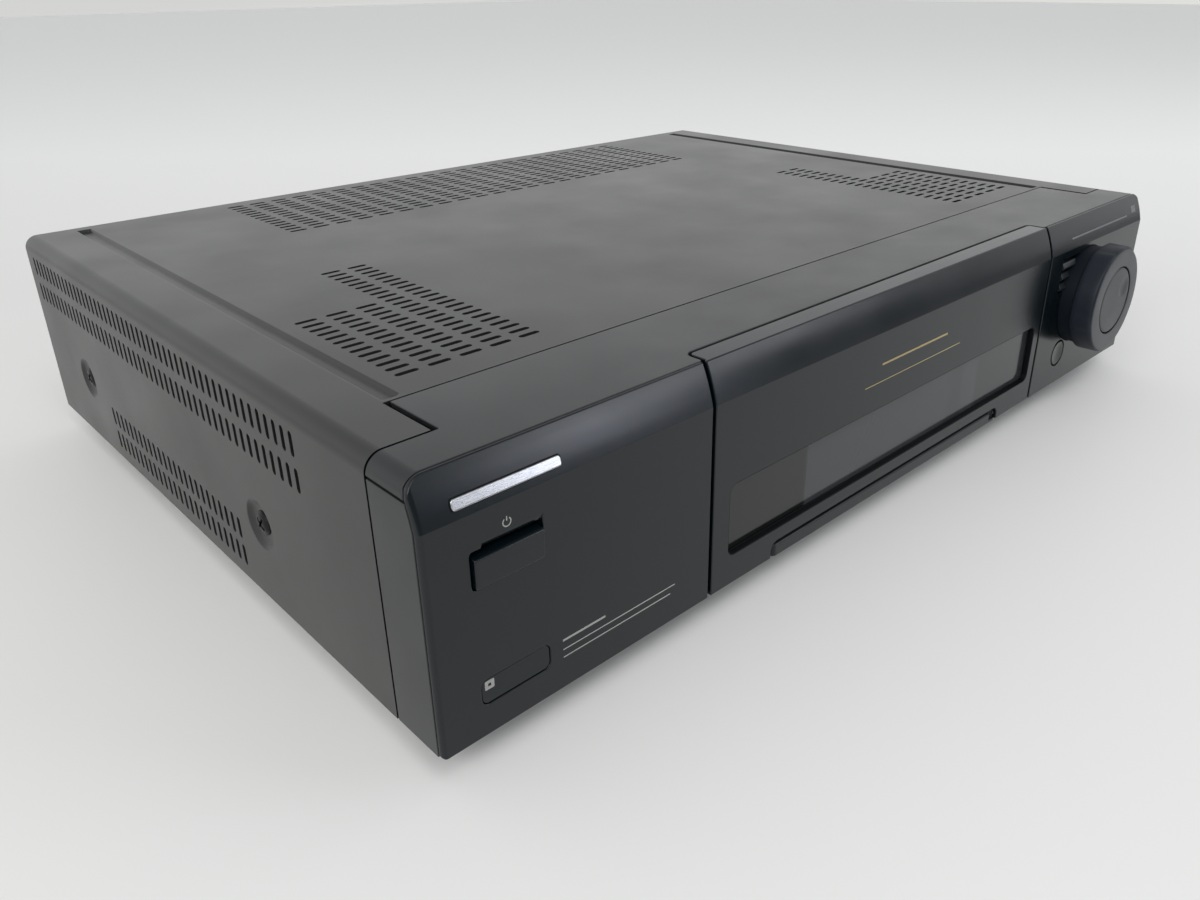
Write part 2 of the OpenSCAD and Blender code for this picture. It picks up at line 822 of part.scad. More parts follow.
module shuttle_ring() {
    at = [dial_x, dial_z];
    lug_angles = [70, 110, 195, 345];
    color("#8d949b") placed() difference() {
        union() {
            rod_y(at, shuttle_r - 0.8, ring_front_y, ring_back_y);
            rod_y(at, shuttle_r, ring_front_y + 1.2, ring_back_y);
            rod_y(at, hub_r, ring_back_y - eps, 6.6);
            // raised finger ribs round the edge
            for (a = lug_angles)
                translate([at[0], 0, at[1]]) rotate([0, -a, 0])
                    block([shuttle_r - 2, shuttle_r + 0.5], [ring_front_y + 2, ring_back_y - 1], [-1.2, 1.2]);
        }
        // well for the jog disc, and its shaft's bore
        rod_y(at, jog_r + 0.35, ring_front_y - 1, ring_front_y + 4.4);
        rod_y(at, jog_shaft_r + run_gap, ring_front_y, 8);
    }
}

module jog_disc() {
    at = [dial_x, dial_z];
    color("#8a9198") placed() difference() {
        union() {
            rod_y(at, jog_r, ring_front_y + 0.2, ring_front_y + 4);
            rod_y(at, jog_shaft_r, ring_front_y + 3.9, encoder_y - 0.8);
            rod_y(at, jog_shaft_r - 1, encoder_y - 0.9, encoder_y + 1.2);
        }
        // shallow finger dimple
        translate([at[0] + jog_r * 0.5, ring_front_y + 0.2 - 11.4, at[1] + jog_r * 0.3]) sphere(r = 12);
    }
}

module dial_encoder() {
    at = [dial_x, dial_z];
    color("#6b7075") placed() difference() {
        along_y(encoder_y, switch_y) round_rect([at[0] - 12, at[1] - 12], [at[0] + 12, at[1] + 12], 3);
        rod_y(at, jog_shaft_r - 1 + run_gap, encoder_y - 1, encoder_y + 1.6);
    }
}

// ---------- boards behind the front ----------

module switch_body(x, z, y_back) {
    block([x - 3, x + 3], [y_back - 0.4, y_back + 0.1], [z - 3, z + 3]);
}

module left_switch_board() {
    color("#2f6b45") placed() difference() {
        union() {
            block([-side + 8, -jamb_side - 8], [switch_y, switch_y + board_t], [5, face_h - 2]);
            switch_body(power_x - power_w / 2 + 6, power_z, switch_y);
            block([ir_x - 4, ir_x + 4], [switch_y - 4, switch_y + 0.1], [ir_z - 4, ir_z + 4]);
        }
        for (x = [-side + 12, -jamb_side - 12]) rod_y([x, face_h - 6], 1.6, switch_y - 1, switch_y + 3);
    }
}

module right_switch_board() {
    color("#2f6b45") placed() difference() {
        union() {
            block([jamb_side + 4, side - 8], [switch_y, switch_y + board_t], [5, face_h + 2]);
            switch_body(round_x, round_z, switch_y);
            for (n = [0 : 2]) block([slim_x0 - 1, slim_x0 + 3], [switch_y - 0.4, switch_y + 0.1],
                [slim_top_z - n * slim_pitch - 1.5, slim_top_z - n * slim_pitch + 1.5]);
        }
        for (z = [9, face_h - 2]) rod_y([side - 13, z], 1.6, switch_y - 1, switch_y + 3);
    }
}

module display_tube() {
    color("#7d8a86") placed() {
        block([-64, 60], [bay_wall_y + bay_wall_t, 19], [13, 39]);
        block([-60, 56], [19, 21.4], [16, 36]);
    }
}

module display_board() {
    color("#2f6b45") placed() block([-98, 98], [21.4, 21.4 + board_t], [6, 42]);
}

// ---------- rear sockets and supply ----------

module inlet_outline(inset) {
    round_rect([inlet_x - inlet_w / 2 + inset, inlet_z - 7 + inset],
        [inlet_x + inlet_w / 2 - inset, inlet_z + 7 - inset], 3);
}

module mains_inlet() {
    pin_pitch = 8.6;
    cavity_h = 8.4;
    cavity_w = 17;
    color("#1b1c1e") placed() {
        difference() {
            union() {
                along_y(rear_y - 16, rear_y + rear_t) inlet_outline(0.1);
                along_y(rear_y + rear_t, rear_y + rear_t + 1) inlet_outline(-1.5);
            }
            along_y(rear_y - 10, body_d + 3)
                round_rect([inlet_x - cavity_w / 2, inlet_z - cavity_h / 2],
                    [inlet_x + cavity_w / 2, inlet_z + cavity_h / 2], cavity_h / 2 - 0.1);
        }
        for (s = [-1, 1]) rod_y([inlet_x + s * pin_pitch / 2, inlet_z], 1.2, rear_y - 11, rear_y - 1);
    }
}

module scart_socket(z, leg) {
    x0 = scart_x - scart_w / 2;
    x1 = scart_x + scart_w / 2;
    wall = 1.2;
    color("#202224") placed() difference() {
        union() {
            block([x0 + 0.1, x1 - 0.1], [rear_y - socket_d, rear_y + rear_t],
                [z - scart_h / 2 + 0.1, z + scart_h / 2 - 0.1]);
            // legs that stand on what is below
            for (x = [x0 + 0.1, x1 - 4.1])
                block([x, x + 4], [rear_y - socket_d, rear_y - 4], [z - scart_h / 2 + 0.1 - leg, z]);
        }
        // shroud round the contact block
        along_y(rear_y - 10, body_d + 1) difference() {
            polygon([[x0 + wall, z - scart_h / 2 + wall], [x1 - wall - 4, z - scart_h / 2 + wall],
                [x1 - wall, z - scart_h / 2 + wall + 4], [x1 - wall, z + scart_h / 2 - wall],
                [x0 + wall, z + scart_h / 2 - wall]]);
            translate([x0 + 4, z - 4]) square([scart_w - 8, 8]);
        }
        for (i = [0 : 9], s = [-1, 1])
            block([x0 + 6 + i * 3.7, x0 + 7.2 + i * 3.7], [rear_y - 8, body_d + 1],
                [z + s * 2.4 - 0.8, z + s * 2.4 + 0.8]);
    }
}

module upper_scart_socket() {
    scart_socket(scart_zs[0], scart_zs[0] - scart_zs[1] - scart_h + 0.2);
}

module lower_scart_socket() {
    scart_socket(scart_zs[1], 0);
}

module tuner_can() {
    color("lightgray") placed() difference() {
        union() {
            block([aerial_x - tuner_side, aerial_x + tuner_side], [rear_y - 62, rear_y],
                [board_top, aerial_z + 18]);
            for (s = [-1, 1])
                rod_y([aerial_x + s * aerial_pitch / 2, aerial_z], 6, rear_y - 1, body_d + aerial_proud);
        }
        for (s = [-1, 1]) difference() {
            rod_y([aerial_x + s * aerial_pitch / 2, aerial_z], 4.75, rear_y, body_d + aerial_proud + 1);
            rod_y([aerial_x + s * aerial_pitch / 2, aerial_z], 1.2, rear_y - 1, body_d + aerial_proud - 1.5);
        }
    }
}

module phono_sockets() {
    color("#2a2c2e") placed() difference() {
        union() {
            block([phono_x - 7, phono_x + 7], [rear_y - 14, rear_y],
                [board_top, aerial_z + phono_pitch + 1]);
            for (s = [-1, 1]) {
                rod_y([phono_x, aerial_z + s * phono_pitch / 2], 5, rear_y - 1, body_d + 3);
                rod_y([phono_x, aerial_z + s * phono_pitch / 2], 4.15, rear_y - 1, body_d + 5.5);
            }
        }
        for (s = [-1, 1]) rod_y([phono_x, aerial_z + s * phono_pitch / 2], 1.7, rear_y - 6, body_d + 7);
    }
}

module main_board() {
    color("#2f6b45") placed() {
        block([main_x0, side - 8], [40, rear_y - 2], [main_z, board_top]);
        block([-10, main_x0 + 1], [deck_back + 4, rear_y - 2], [main_z, board_top]);
        for (x = [main_x0 + 6, side - 14], y = [50, 180, rear_y - 10])
            rod_z([x, y], 3, sheet_t, main_z + eps);
        for (y = [70, 110, 190])
            block([main_x0 + 16, main_x0 + 44], [y, y + 28], [main_z, board_top + 3]);
        for (i = [0 : 3]) rod_z([side - 24, 70 + i * 32], 6, main_z, board_top + 14);
    }
}

module power_board() {
    color("#b08d57") placed() {
        block([-side + 8, -main_x0], [transformer_front - 30, rear_y - 2], [main_z, board_top]);
        for (x = [-side + 14, -main_x0 - 6], y = [transformer_front - 20, rear_y - 10])
            rod_z([x, y], 3, sheet_t, main_z + eps);
    }
}

module transformer() {
    x0 = -side + 40;
    x1 = x0 + transformer_w;
    y0 = transformer_front;
    y1 = y0 + transformer_d;
    color("#4a3f2a") placed() {
        block([x0, x1], [y0, y1], [board_top, board_top + 8]);
        block([x0 + 4, x1 - 4], [y0 + 4, y1 - 4], [board_top + 8, board_top + 34]);
        block([x0, x1], [y0, y1], [board_top + 34, board_top + 40]);
    }
}

module heat_sink() {
    x0 = -deck_side - 28;
    fin_t = 2;
    fin_pitch = (sink_l - fin_t) / 8;
    color("silver") placed() {
        block([x0, x0 + fin_t], [sink_front, sink_back], [board_top, sink_top]);
        for (y = [sink_front : fin_pitch : sink_back])
            block([x0 + 1, x0 + 18], [y, y + fin_t], [board_top + 3, sink_top]);
    }
}

module main_capacitor() {
    at = [-side + 30, sink_front + 15];
    color("#22304a") placed() difference() {
        rod_z(at, capacitor_r, board_top, board_top + 36);
        rod_z(at, capacitor_r - 2, board_top + 35.4, board_top + 37);
    }
}

// ---------- tape deck ----------

module guide_slot(grow) {
    for (s = [-1, 1]) translate([s * guide_start[0], guide_start[1]])
        rotate(-s * atan(guide_lean)) {
            translate([-1.7 - grow, 0]) square([3.4 + 2 * grow, guide_run]);
            circle(1.7 + grow);
            translate([0, guide_run]) circle(1.7 + grow);
        }
}

module deck_chassis() {
    color("#a9aeb2") placed() {
        translate([0, 0, deck_z]) linear_extrude(deck_t) difference() {
            translate([-deck_side, deck_front]) square([2 * deck_side, deck_back - deck_front]);
            translate([0, drum_y]) circle(12);
            translate(capstan_at) circle(bearing_r);
            guide_slot(0.35);
            for (s = [-1, 1]) translate([s * 60, 60]) circle(9);
        }
        for (x = [-deck_side + 7, deck_side - 7], y = [deck_front + 8, deck_back - 8])
            rod_z([x, y], 4, sheet_t, deck_z + eps);
        // posts that carry the reel tables, the idler and the pinch arm
        for (s = [-1, 1]) rod_z([s * reel_x, reel_y], 1.5, deck_top - eps, deck_top + 12);
        rod_z(idler_at, 1.5, deck_top - eps, deck_top + 5);
        rod_z(pinch_pivot, pinch_pin_r, deck_top - eps, deck_top + 5.5);
        rod_z([cam_at[0], cam_at[1]], 3, cam_z - 2, deck_z + eps);
    }
}

module lower_drum() {
    color("silver") placed() difference() {
        union() {
            rod_z([0, drum_y], drum_r, deck_top, drum_split);
            rod_z([0, drum_y], 11, deck_z - 4, deck_top + eps);
        }
        rod_z([0, drum_y], drum_spindle_r + run_gap, deck_z - 6, drum_split + 1);
        // helical tape rest, as a low step round the front half
        difference() {
            rod_z([0, drum_y], drum_r + 2, drum_split - 5, drum_split + 1);
            rod_z([0, drum_y], drum_r - 0.6, drum_split - 6, drum_split + 2);
        }
    }
}

module upper_drum() {
    color("gainsboro") placed() difference() {
        union() {
            rod_z([0, drum_y], drum_r - 0.6, drum_split + move_gap, drum_top);
            rod_z([0, drum_y], drum_spindle_r, deck_z - 10, drum_split + 2);
            rod_z([0, drum_y], 8, drum_split + 2, drum_top + 4);
        }
        difference() {
            rod_z([0, drum_y], drum_r - 5, drum_top - 4, drum_top + 1);
            rod_z([0, drum_y], 12, drum_top - 5, drum_top + 2);
        }
        for (a = [45 : 90 : 315]) translate([0, drum_y, 0]) rotate(a)
            block([drum_r - 2.6, drum_r + 1], [-2, 2], [drum_split, drum_split + 3]);
    }
}

module drum_rotor() {
    color("dimgray") placed() difference() {
        rod_z([0, drum_y], rotor_r, deck_z - 10, deck_z - 5);
        rod_z([0, drum_y], drum_spindle_r, deck_z - 11, deck_z - 4);
        for (a = [0 : 60 : 300])
            translate([0, drum_y, 0]) rotate(a) rod_z([13, 0], 2.5, deck_z - 11, deck_z - 4);
    }
}

module capstan() {
    color("gainsboro") placed() {
        rod_z(capstan_at, flywheel_r, deck_z - 11, deck_z - 5);
        rod_z(capstan_at, 6, deck_z - 5 - eps, deck_z - 3);
        rod_z(capstan_at, capstan_r, deck_z - 3 - eps, capstan_top);
    }
}

module capstan_bearing() {
    color("goldenrod") placed() difference() {
        union() {
            rod_z(capstan_at, bearing_r, deck_z - 2, deck_top + 3);
            rod_z(capstan_at, 7, deck_z - 2, deck_z);
        }
        rod_z(capstan_at, capstan_r + run_gap, deck_z - 4, deck_top + 12);
    }
}

module pinch_arm() {
    reach = pinch_at - pinch_pivot;
    turn = atan2(reach[1], reach[0]);
    length = norm(reach);
    color("#8a8f94") placed() {
        difference() {
            union() {
                translate([pinch_pivot[0], pinch_pivot[1], pinch_arm_z]) rotate(turn)
                    block([0, length], [-2.5, 2.5], [0, 3]);
                rod_z(pinch_pivot, 4, pinch_arm_z, pinch_arm_z + 4.5);
                rod_z(pinch_at, 3.5, pinch_arm_z, pinch_arm_z + 3);
            }
            rod_z(pinch_pivot, pinch_pin_r + run_gap, pinch_arm_z - 1, pinch_arm_z + 6);
        }
        rod_z(pinch_at, pinch_pin_r, pinch_arm_z + 1, pinch_arm_z + 22);
    }
}

module pinch_roller() {
    z0 = pinch_arm_z + 3.5;
    color("#1a1a1a") placed() difference() {
        rod_z(pinch_at, pinch_r, z0, z0 + 15);
        rod_z(pinch_at, pinch_pin_r + run_gap, z0 - 1, z0 + 16);
    }
}

module reel_table(x) {
    z0 = deck_top + 0.6;
    color("white") placed() difference() {
        union() {
            rod_z([x, reel_y], reel_r, z0, z0 + 3);
            rod_z([x, reel_y], 12, z0, z0 + 5.4);
            rod_z([x, reel_y], 4.2, z0, z0 + 17);
            for (a = [0 : 60 : 300]) translate([x, reel_y, 0]) rotate(a)
                block([3, 8.5], [-0.8, 0.8], [z0, z0 + 10]);
        }
        rod_z([x, reel_y], 1.5 + run_gap, z0 - 1, z0 + 13);
    }
}

module supply_reel_table() {
    reel_table(-reel_x);
}

module take_up_reel_table() {
    reel_table(reel_x);
}

module idler_wheel() {
    z0 = deck_top + 0.6;
    color("#2b2b2b") placed() difference() {
        union() {
            rod_z(idler_at, idler_r, z0, z0 + 2.6);
            rod_z(idler_at, 4, z0, z0 + 3.6);
        }
        rod_z(idler_at, 1.5 + run_gap, z0 - 1, z0 + 5);
        for (a = [0 : 60 : 300]) translate([idler_at[0], idler_at[1], 0]) rotate(a)
            rod_z([idler_r * 0.6, 0], 2.2, z0 - 1, z0 + 4);
    }
}

// A guide on its base, with a keel in the deck's slot
module tape_guide(s) {
    at = [s * guide_start[0], guide_start[1]];
    z0 = deck_top + 0.4;
    color("gainsboro") placed() translate([at[0], at[1], 0]) rotate(-s * atan(guide_lean)) {
        block([-5, 5], [-6, 6], [z0, z0 + 3]);
        rod_z([0, 0], 1.7, deck_z - 1, z0 + 1);
        rod_z([0, 0], 1.4, z0 + 2, z0 + 25);
        rod_z([0, 0], guide_pin_r, z0 + 5, z0 + 21);
        rod_z([0, 0], 4, z0 + 21, z0 + 22.5);
    }
}

module supply_guide() {
    tape_guide(-1);
}

module take_up_guide() {
    tape_guide(1);
}

module head_stack() {
    at = [53, drum_y - 13];
    color("#9aa0a5") placed() {
        block([at[0] - 6, at[0] + 6], [at[1] - 4, at[1] + 6], [deck_top, deck_top + 3]);
        block([at[0] - 4, at[0] + 5], [at[1] - 2, at[1] + 5], [deck_top + 3, deck_top + 26]);
        rod_z([at[0], at[1] - 2], 3, deck_top + 3, deck_top + 24);
    }
}

module cam_gear() {
    color("ivory") placed() translate([cam_at[0], cam_at[1], 0]) difference() {
        union() {
            gear(cam_r, cam_teeth, cam_z, cam_z + 5);
            rod_z([0, 0], 6, cam_z - 1, cam_z + 7);
        }
        rod_z([0, 0], 3 + run_gap, cam_z - 2, cam_z + 8);
        // cam track on the upper face
        translate([0, 0, cam_z + 3]) linear_extrude(3) difference() {
            circle(14);
            circle(11);
            translate([-15, -15]) square([15, 15]);
        }
    }
}

module loading_worm() {
    y0 = worm_at[1] - worm_l / 2;
    z = cam_z + 2.5;
    color("tan") placed() {
        rod_y([worm_at[0], z], worm_r - 1, y0, y0 + worm_l + 4);
        for (i = [0 : 7])
            rod_y([worm_at[0], z], worm_r, y0 + 1.5 + i * 3, y0 + 3 + i * 3);
    }
}

module loading_motor() {
    y0 = worm_at[1] - worm_l / 2 + worm_l + 4.4;
    z = cam_z + 2.5;
    color("silver") placed() difference() {
        union() {
            rod_y([worm_at[0], z], motor_r, y0, y0 + 22);
            block([worm_at[0] - 9, worm_at[0] + 9], [y0 + 2, y0 + 4], [sheet_t, z]);
        }
        rod_y([worm_at[0], z], 3, y0 + 21, y0 + 23);
    }
}

// ---------- cassette carriage ----------

module cassette_holder() {
    color("#b4b8bb") placed() {
        difference() {
            union() {
                block([-holder_side, holder_side], [holder_front, holder_back],
                    [bay_top, bay_top + holder_t]);
                both_sides() {
                    block([holder_side - holder_t, holder_side], [holder_front, holder_back],
                        [bay_floor - holder_t, bay_top + eps]);
                    block([holder_ledge, holder_side], [holder_front, holder_back],
                        [bay_floor - holder_t, bay_floor]);
                }
            }
            for (s = [-1, 1]) block([s * 50 - 22, s * 50 + 22], [holder_front + 20, holder_back - 24],
                [bay_top - 1, bay_top + 3]);
        }
        both_sides() rod_x([holder_pin_y, holder_pin_z], holder_pin_r, holder_side - eps, slider_out);
    }
}

module carriage_slider() {
    bar_z = bay_top + holder_t + move_gap;
    slot = holder_pin_r + move_gap;
    color("#7b8084") placed() difference() {
        union() {
            both_sides() {
                block([slider_in, slider_out], [rail_pin_ys[0] - 6, rail_pin_ys[1] + 6],
                    [holder_pin_z - load_drop - 6, bar_z + 0.8]);
                for (y = rail_pin_ys)
                    rod_x([y, rail_pin_z], rail_pin_r, slider_out - eps, rail_out + 1);
            }
            block([-slider_out, slider_out], [holder_pin_y + 4, holder_pin_y + 16], [bar_z, bar_z + 0.8]);
        }
        both_sides() block([slider_in - 1, slider_out + 1], [holder_pin_y - slot, holder_pin_y + slot],
            [holder_pin_z - load_drop - slot, holder_pin_z + slot]);
    }
}

module carriage_frame() {
    tie_z = bay_top + holder_t + 2 * move_gap + 0.8;
    slot = rail_pin_r + move_gap;
    color("#979ca0") placed() difference() {
        union() {
            both_sides() {
                block([rail_in, rail_out], [deck_front, rail_back], [deck_top, tie_z + 1]);
                block([rail_in, rail_out + 8], [deck_front, rail_back], [deck_top, deck_top + 1.2]);
            }
            for (y = [deck_front + 8, rail_back - 14])
                block([-rail_out, rail_out], [y, y + 10], [tie_z, tie_z + 1]);
        }
        both_sides() block([rail_in - 1, rail_out + 2],
            [rail_pin_ys[0] - slot, rail_pin_ys[1] + load_back + slot],
            [rail_pin_z - slot, rail_pin_z + slot]);
    }
}

top_cover();
cover_screws();
bezel_frame();
left_face();
right_face();
bottom_chassis();
rear_panel();
rear_screws();
foot_front_left();
foot_front_right();
foot_rear_left();
foot_rear_right();
door_panel();
door_window();
door_hinge_bar();
door_hinge_pins();
power_button();
ir_window();
upper_slim_button();
middle_slim_button();
lower_slim_button();
round_button();
dial_collar();
shuttle_ring();
jog_disc();
dial_encoder();
left_switch_board();
right_switch_board();
display_tube();
display_board();
mains_inlet();
upper_scart_socket();
lower_scart_socket();
tuner_can();
phono_sockets();
main_board();
power_board();
transformer();
heat_sink();
main_capacitor();
deck_chassis();
lower_drum();
upper_drum();
drum_rotor();
capstan();
capstan_bearing();
pinch_arm();
pinch_roller();
supply_reel_table();
take_up_reel_table();
idler_wheel();
supply_guide();
take_up_guide();
head_stack();
loading_motor();
loading_worm();
cam_gear();
cassette_holder();
carriage_slider();
carriage_frame();
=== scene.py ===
import bpy
import bmesh
import math
from mathutils import Matrix, Vector


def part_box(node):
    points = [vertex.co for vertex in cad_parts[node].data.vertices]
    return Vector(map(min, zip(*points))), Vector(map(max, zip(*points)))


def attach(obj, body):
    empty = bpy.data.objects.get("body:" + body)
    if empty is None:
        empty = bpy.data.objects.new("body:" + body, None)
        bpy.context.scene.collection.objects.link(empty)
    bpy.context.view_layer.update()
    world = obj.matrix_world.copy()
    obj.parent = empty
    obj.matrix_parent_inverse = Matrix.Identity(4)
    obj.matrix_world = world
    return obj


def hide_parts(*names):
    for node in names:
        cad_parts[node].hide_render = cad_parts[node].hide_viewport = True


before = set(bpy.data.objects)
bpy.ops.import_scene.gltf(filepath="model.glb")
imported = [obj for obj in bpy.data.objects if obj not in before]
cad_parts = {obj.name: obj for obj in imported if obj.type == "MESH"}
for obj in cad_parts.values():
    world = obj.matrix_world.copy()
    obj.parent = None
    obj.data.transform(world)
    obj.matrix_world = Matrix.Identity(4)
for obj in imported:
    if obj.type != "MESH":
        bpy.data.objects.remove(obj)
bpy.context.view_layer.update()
print("frame loaded with", len(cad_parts), "nodes")

# Everything is drawn in millimetres from the middle of the panel's lower edge,
# and then placed in the row frame.
mm = 0.001
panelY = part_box("left_face")[0].y
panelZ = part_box("left_face")[0].z
toRow = Matrix.Translation((0, panelY, panelZ)) @ Matrix.Scale(mm, 4)

case = {
    "side": 215.0, "top": 81.0, "depth": 317.0, "cornerR": 5.5,
    "faceTop": 68.0, "setback": 4.6, "bandR": 60.0, "seamY": 5.5,
    "jamb": 113.25, "plateT": 2.0,
}

# Shared modelling


def bandSetback(z):
    # how far the front leans back at height z, on the band's arc
    if z <= case["faceTop"]:
        return 0.0
    rise = case["top"] - case["faceTop"]
    chord = math.hypot(case["setback"], rise)
    reach = math.sqrt(case["bandR"] ** 2 - chord ** 2 / 4)
    midY = case["setback"] / 2 + reach * rise / chord
    midZ = case["faceTop"] + rise / 2 - reach * case["setback"] / chord
    return max(0.0, midY - math.sqrt(max(0.0, case["bandR"] ** 2 - (z - midZ) ** 2)))


def bandLevels(count=5):
    rise = case["top"] - case["faceTop"]
    return [case["faceTop"] + rise * i / count for i in range(count)]


# Where the first, second and carried coordinate of an outline go
planes = {
    "xz": lambda a, b, c: (a, c, b),
    "yz": lambda a, b, c: (c, a, b),
    "xy": lambda a, b, c: (a, b, c),
}


def outline(bm, plane, points, at, rounding=None, segments=6):
    # a flat face through the points, with the named corners rounded
    place = planes[plane]
    verts = [bm.verts.new(place(a, b, at)) for a, b in points]
    bm.faces.new(verts)
    for index, radius in (rounding or {}).items():
        bmesh.ops.bevel(bm, geom=[verts[index]], offset=radius, segments=segments, profile=0.5,
                        affect="VERTICES", material=-1)
    bm.faces.ensure_lookup_table()
    return bm.faces[0]


def carried(bm, face, plane, length):
    # carries the outline to a solid of that length
    grown = bmesh.ops.extrude_face_region(bm, geom=[face])
    verts = [v for v in grown["geom"] if isinstance(v, bmesh.types.BMVert)]
    bmesh.ops.translate(bm, verts=verts, vec=planes[plane](0, 0, length))


def solid(plane, points, low, high, rounding=None, segments=6):
    bm = bmesh.new()
    carried(bm, outline(bm, plane, points, low, rounding, segments), plane, high - low)
    bmesh.ops.recalc_face_normals(bm, faces=bm.faces)
    return bm


def box(x, y, z, radius=0.0, segments=2):
    bm = bmesh.new()
    bmesh.ops.create_cube(bm, size=1)
    bmesh.ops.scale(bm, vec=(x[1] - x[0], y[1] - y[0], z[1] - z[0]), verts=bm.verts)
    bmesh.ops.translate(bm, vec=((x[0] + x[1]) / 2, (y[0] + y[1]) / 2, (z[0] + z[1]) / 2), verts=bm.verts)
    if radius:
        bmesh.ops.bevel(bm, geom=bm.edges[:], offset=radius, segments=segments, profile=0.5,
                        affect="EDGES", clamp_overlap=True, material=-1)
    return bm


def corners(x, z):
    return [(x[0], z[0]), (x[1], z[0]), (x[1], z[1]), (x[0], z[1])]


def widened(span, by):
    return (span[0] - by, span[1] + by)


def everyCorner(radius):
    return {i: radius for i in range(4)}


def turned(points, centre, steps, axis="y", closed=False):
    # a solid of revolution from (radius, along) points, about the named axis through centre
    bm = bmesh.new()
    place = {"y": lambda r, a: (r, a, 0), "z": lambda r, a: (r, 0, a), "x": lambda r, a: (a, r, 0)}[axis]
    verts = [bm.verts.new(place(r, a)) for r, a in points]
    edges = [bm.edges.new(pair) for pair in zip(verts, verts[1:] + (verts[:1] if closed else []))]
    turnAxis = {"y": (0, 1, 0), "z": (0, 0, 1), "x": (1, 0, 0)}[axis]
    bmesh.ops.spin(bm, geom=verts + edges, cent=(0, 0, 0), axis=turnAxis, angle=math.tau,
                   steps=steps, use_merge=True)
    bmesh.ops.remove_doubles(bm, verts=bm.verts, dist=0.0005)
    bmesh.ops.translate(bm, vec=centre, verts=bm.verts)
    bmesh.ops.recalc_face_normals(bm, faces=bm.faces)
    return bm


def gather(*meshes):
    # several closed shells in one mesh
    whole = bmesh.new()
    for bm in meshes:
        holder = bpy.data.meshes.new("holder")
        bm.to_mesh(holder)
        whole.from_mesh(holder)
        bpy.data.meshes.remove(holder)
        bm.free()
    return whole


def both(build):
    # the shape at the right and its mirror image at the left
    right = build()
    left = build()
    bmesh.ops.scale(left, vec=(-1, 1, 1), verts=left.verts)
    bmesh.ops.reverse_faces(left, faces=left.faces)
    return gather(right, left)


def makeObject(name, bm):
    mesh = bpy.data.meshes.new(name)
    bm.to_mesh(mesh)
    bm.free()
    item = bpy.data.objects.new(name, mesh)
    bpy.context.scene.collection.objects.link(item)
    return item


def bakeModifiers(item):
    graph = bpy.context.evaluated_depsgraph_get()
    mesh = bpy.data.meshes.new_from_object(item.evaluated_get(graph))
    item.modifiers.clear()
    old = item.data
    item.data = mesh
    bpy.data.meshes.remove(old)


def discard(item):
    mesh = item.data
    bpy.data.objects.remove(item)
    bpy.data.meshes.remove(mesh)


def released(item):
    # the object's shape alone
    bm = bmesh.new()
    bm.from_mesh(item.data)
    discard(item)
    return bm


def cut(item, *tools, operation="DIFFERENCE"):
    for bm in tools:
        tool = makeObject("tool", bm)
        modifier = item.modifiers.new("cut", "BOOLEAN")
        modifier.operation = operation
        modifier.solver = "EXACT"
        modifier.object = tool
        bakeModifiers(item)
        discard(tool)


def finished(item, material, body, replaces=(), edge=0.0, segments=2, angle=32):
    # softens the edges, places the piece and names what carries it
    item.data.transform(toRow)
    if edge:
        bevel = item.modifiers.new("softEdges", "BEVEL")
        bevel.width = edge * mm
        bevel.segments = segments
        bevel.limit_method = "ANGLE"
        bevel.angle_limit = math.radians(angle)
        bevel.use_clamp_overlap = False
        bevel.miter_outer = "MITER_ARC"
        bakeModifiers(item)
    for face in item.data.polygons:
        face.use_smooth = True
    item.data.set_sharp_from_angle(angle=math.radians(46))
    crease = panelZ + case["faceTop"] * mm
    for line in item.data.edges:
        if all(abs(item.data.vertices[i].co.z - crease) < 0.00002 for i in line.vertices):
            line.use_edge_sharp = True
    weighted = item.modifiers.new("weightedNormals", "WEIGHTED_NORMAL")
    weighted.keep_sharp = True
    if not item.data.materials:
        item.data.materials.append(material)
    else:
        item.data.materials[0] = material
    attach(item, body)
    if replaces:
        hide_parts(*replaces)
    return item


def paint(item, material, where):
    # gives another finish to the faces whose middle, in panel millimetres, passes the test
    item.data.materials.append(material)
    index = len(item.data.materials) - 1
    toPanel = toRow.inverted()
    for face in item.data.polygons:
        if where(toPanel @ face.center, face.normal):
            face.material_index = index


def piece(name, bm, material, body="case", replaces=(), slot=None, edge=0.0, segments=2, cuts=(), angle=32):
    item = makeObject(name, bm)
    if cuts:
        cut(item, *cuts)
    return finished(item, material, body, replaces, edge, segments, angle)


# Materials


def newMaterial(name):
    material = bpy.data.materials.new(name)
    material.use_nodes = True
    nodes = material.node_tree.nodes
    return material, nodes, material.node_tree.links, nodes["Principled BSDF"]


def noiseAt(nodes, links, scale, detail=3.0, stretch=(1, 1, 1)):
    place = nodes.new("ShaderNodeTexCoord")
    turn = nodes.new("ShaderNodeMapping")
    turn.inputs["Scale"].default_value = stretch
    noise = nodes.new("ShaderNodeTexNoise")
    noise.inputs["Scale"].default_value = scale
    noise.inputs["Detail"].default_value = detail
    links.new(place.outputs["Object"], turn.inputs["Vector"])
    links.new(turn.outputs["Vector"], noise.inputs["Vector"])
    return noise


def spread(nodes, links, source, low, high):
    # the middle of a noise, stretched to run from low to high
    ranged = nodes.new("ShaderNodeMapRange")
    ranged.inputs["From Min"].default_value = 0.3
    ranged.inputs["From Max"].default_value = 0.7
    ranged.inputs["To Min"].default_value = low
    ranged.inputs["To Max"].default_value = high
    links.new(source, ranged.inputs["Value"])
    return ranged.outputs["Result"]


def blend(nodes, links, factor, first, second):
    # mixes two colours by the factor
    mix = nodes.new("ShaderNodeMix")
    mix.data_type = "RGBA"
    mix.inputs[6].default_value = (*first, 1)
    mix.inputs[7].default_value = (*second, 1)
    links.new(factor, mix.inputs[0])
    return mix.outputs[2]


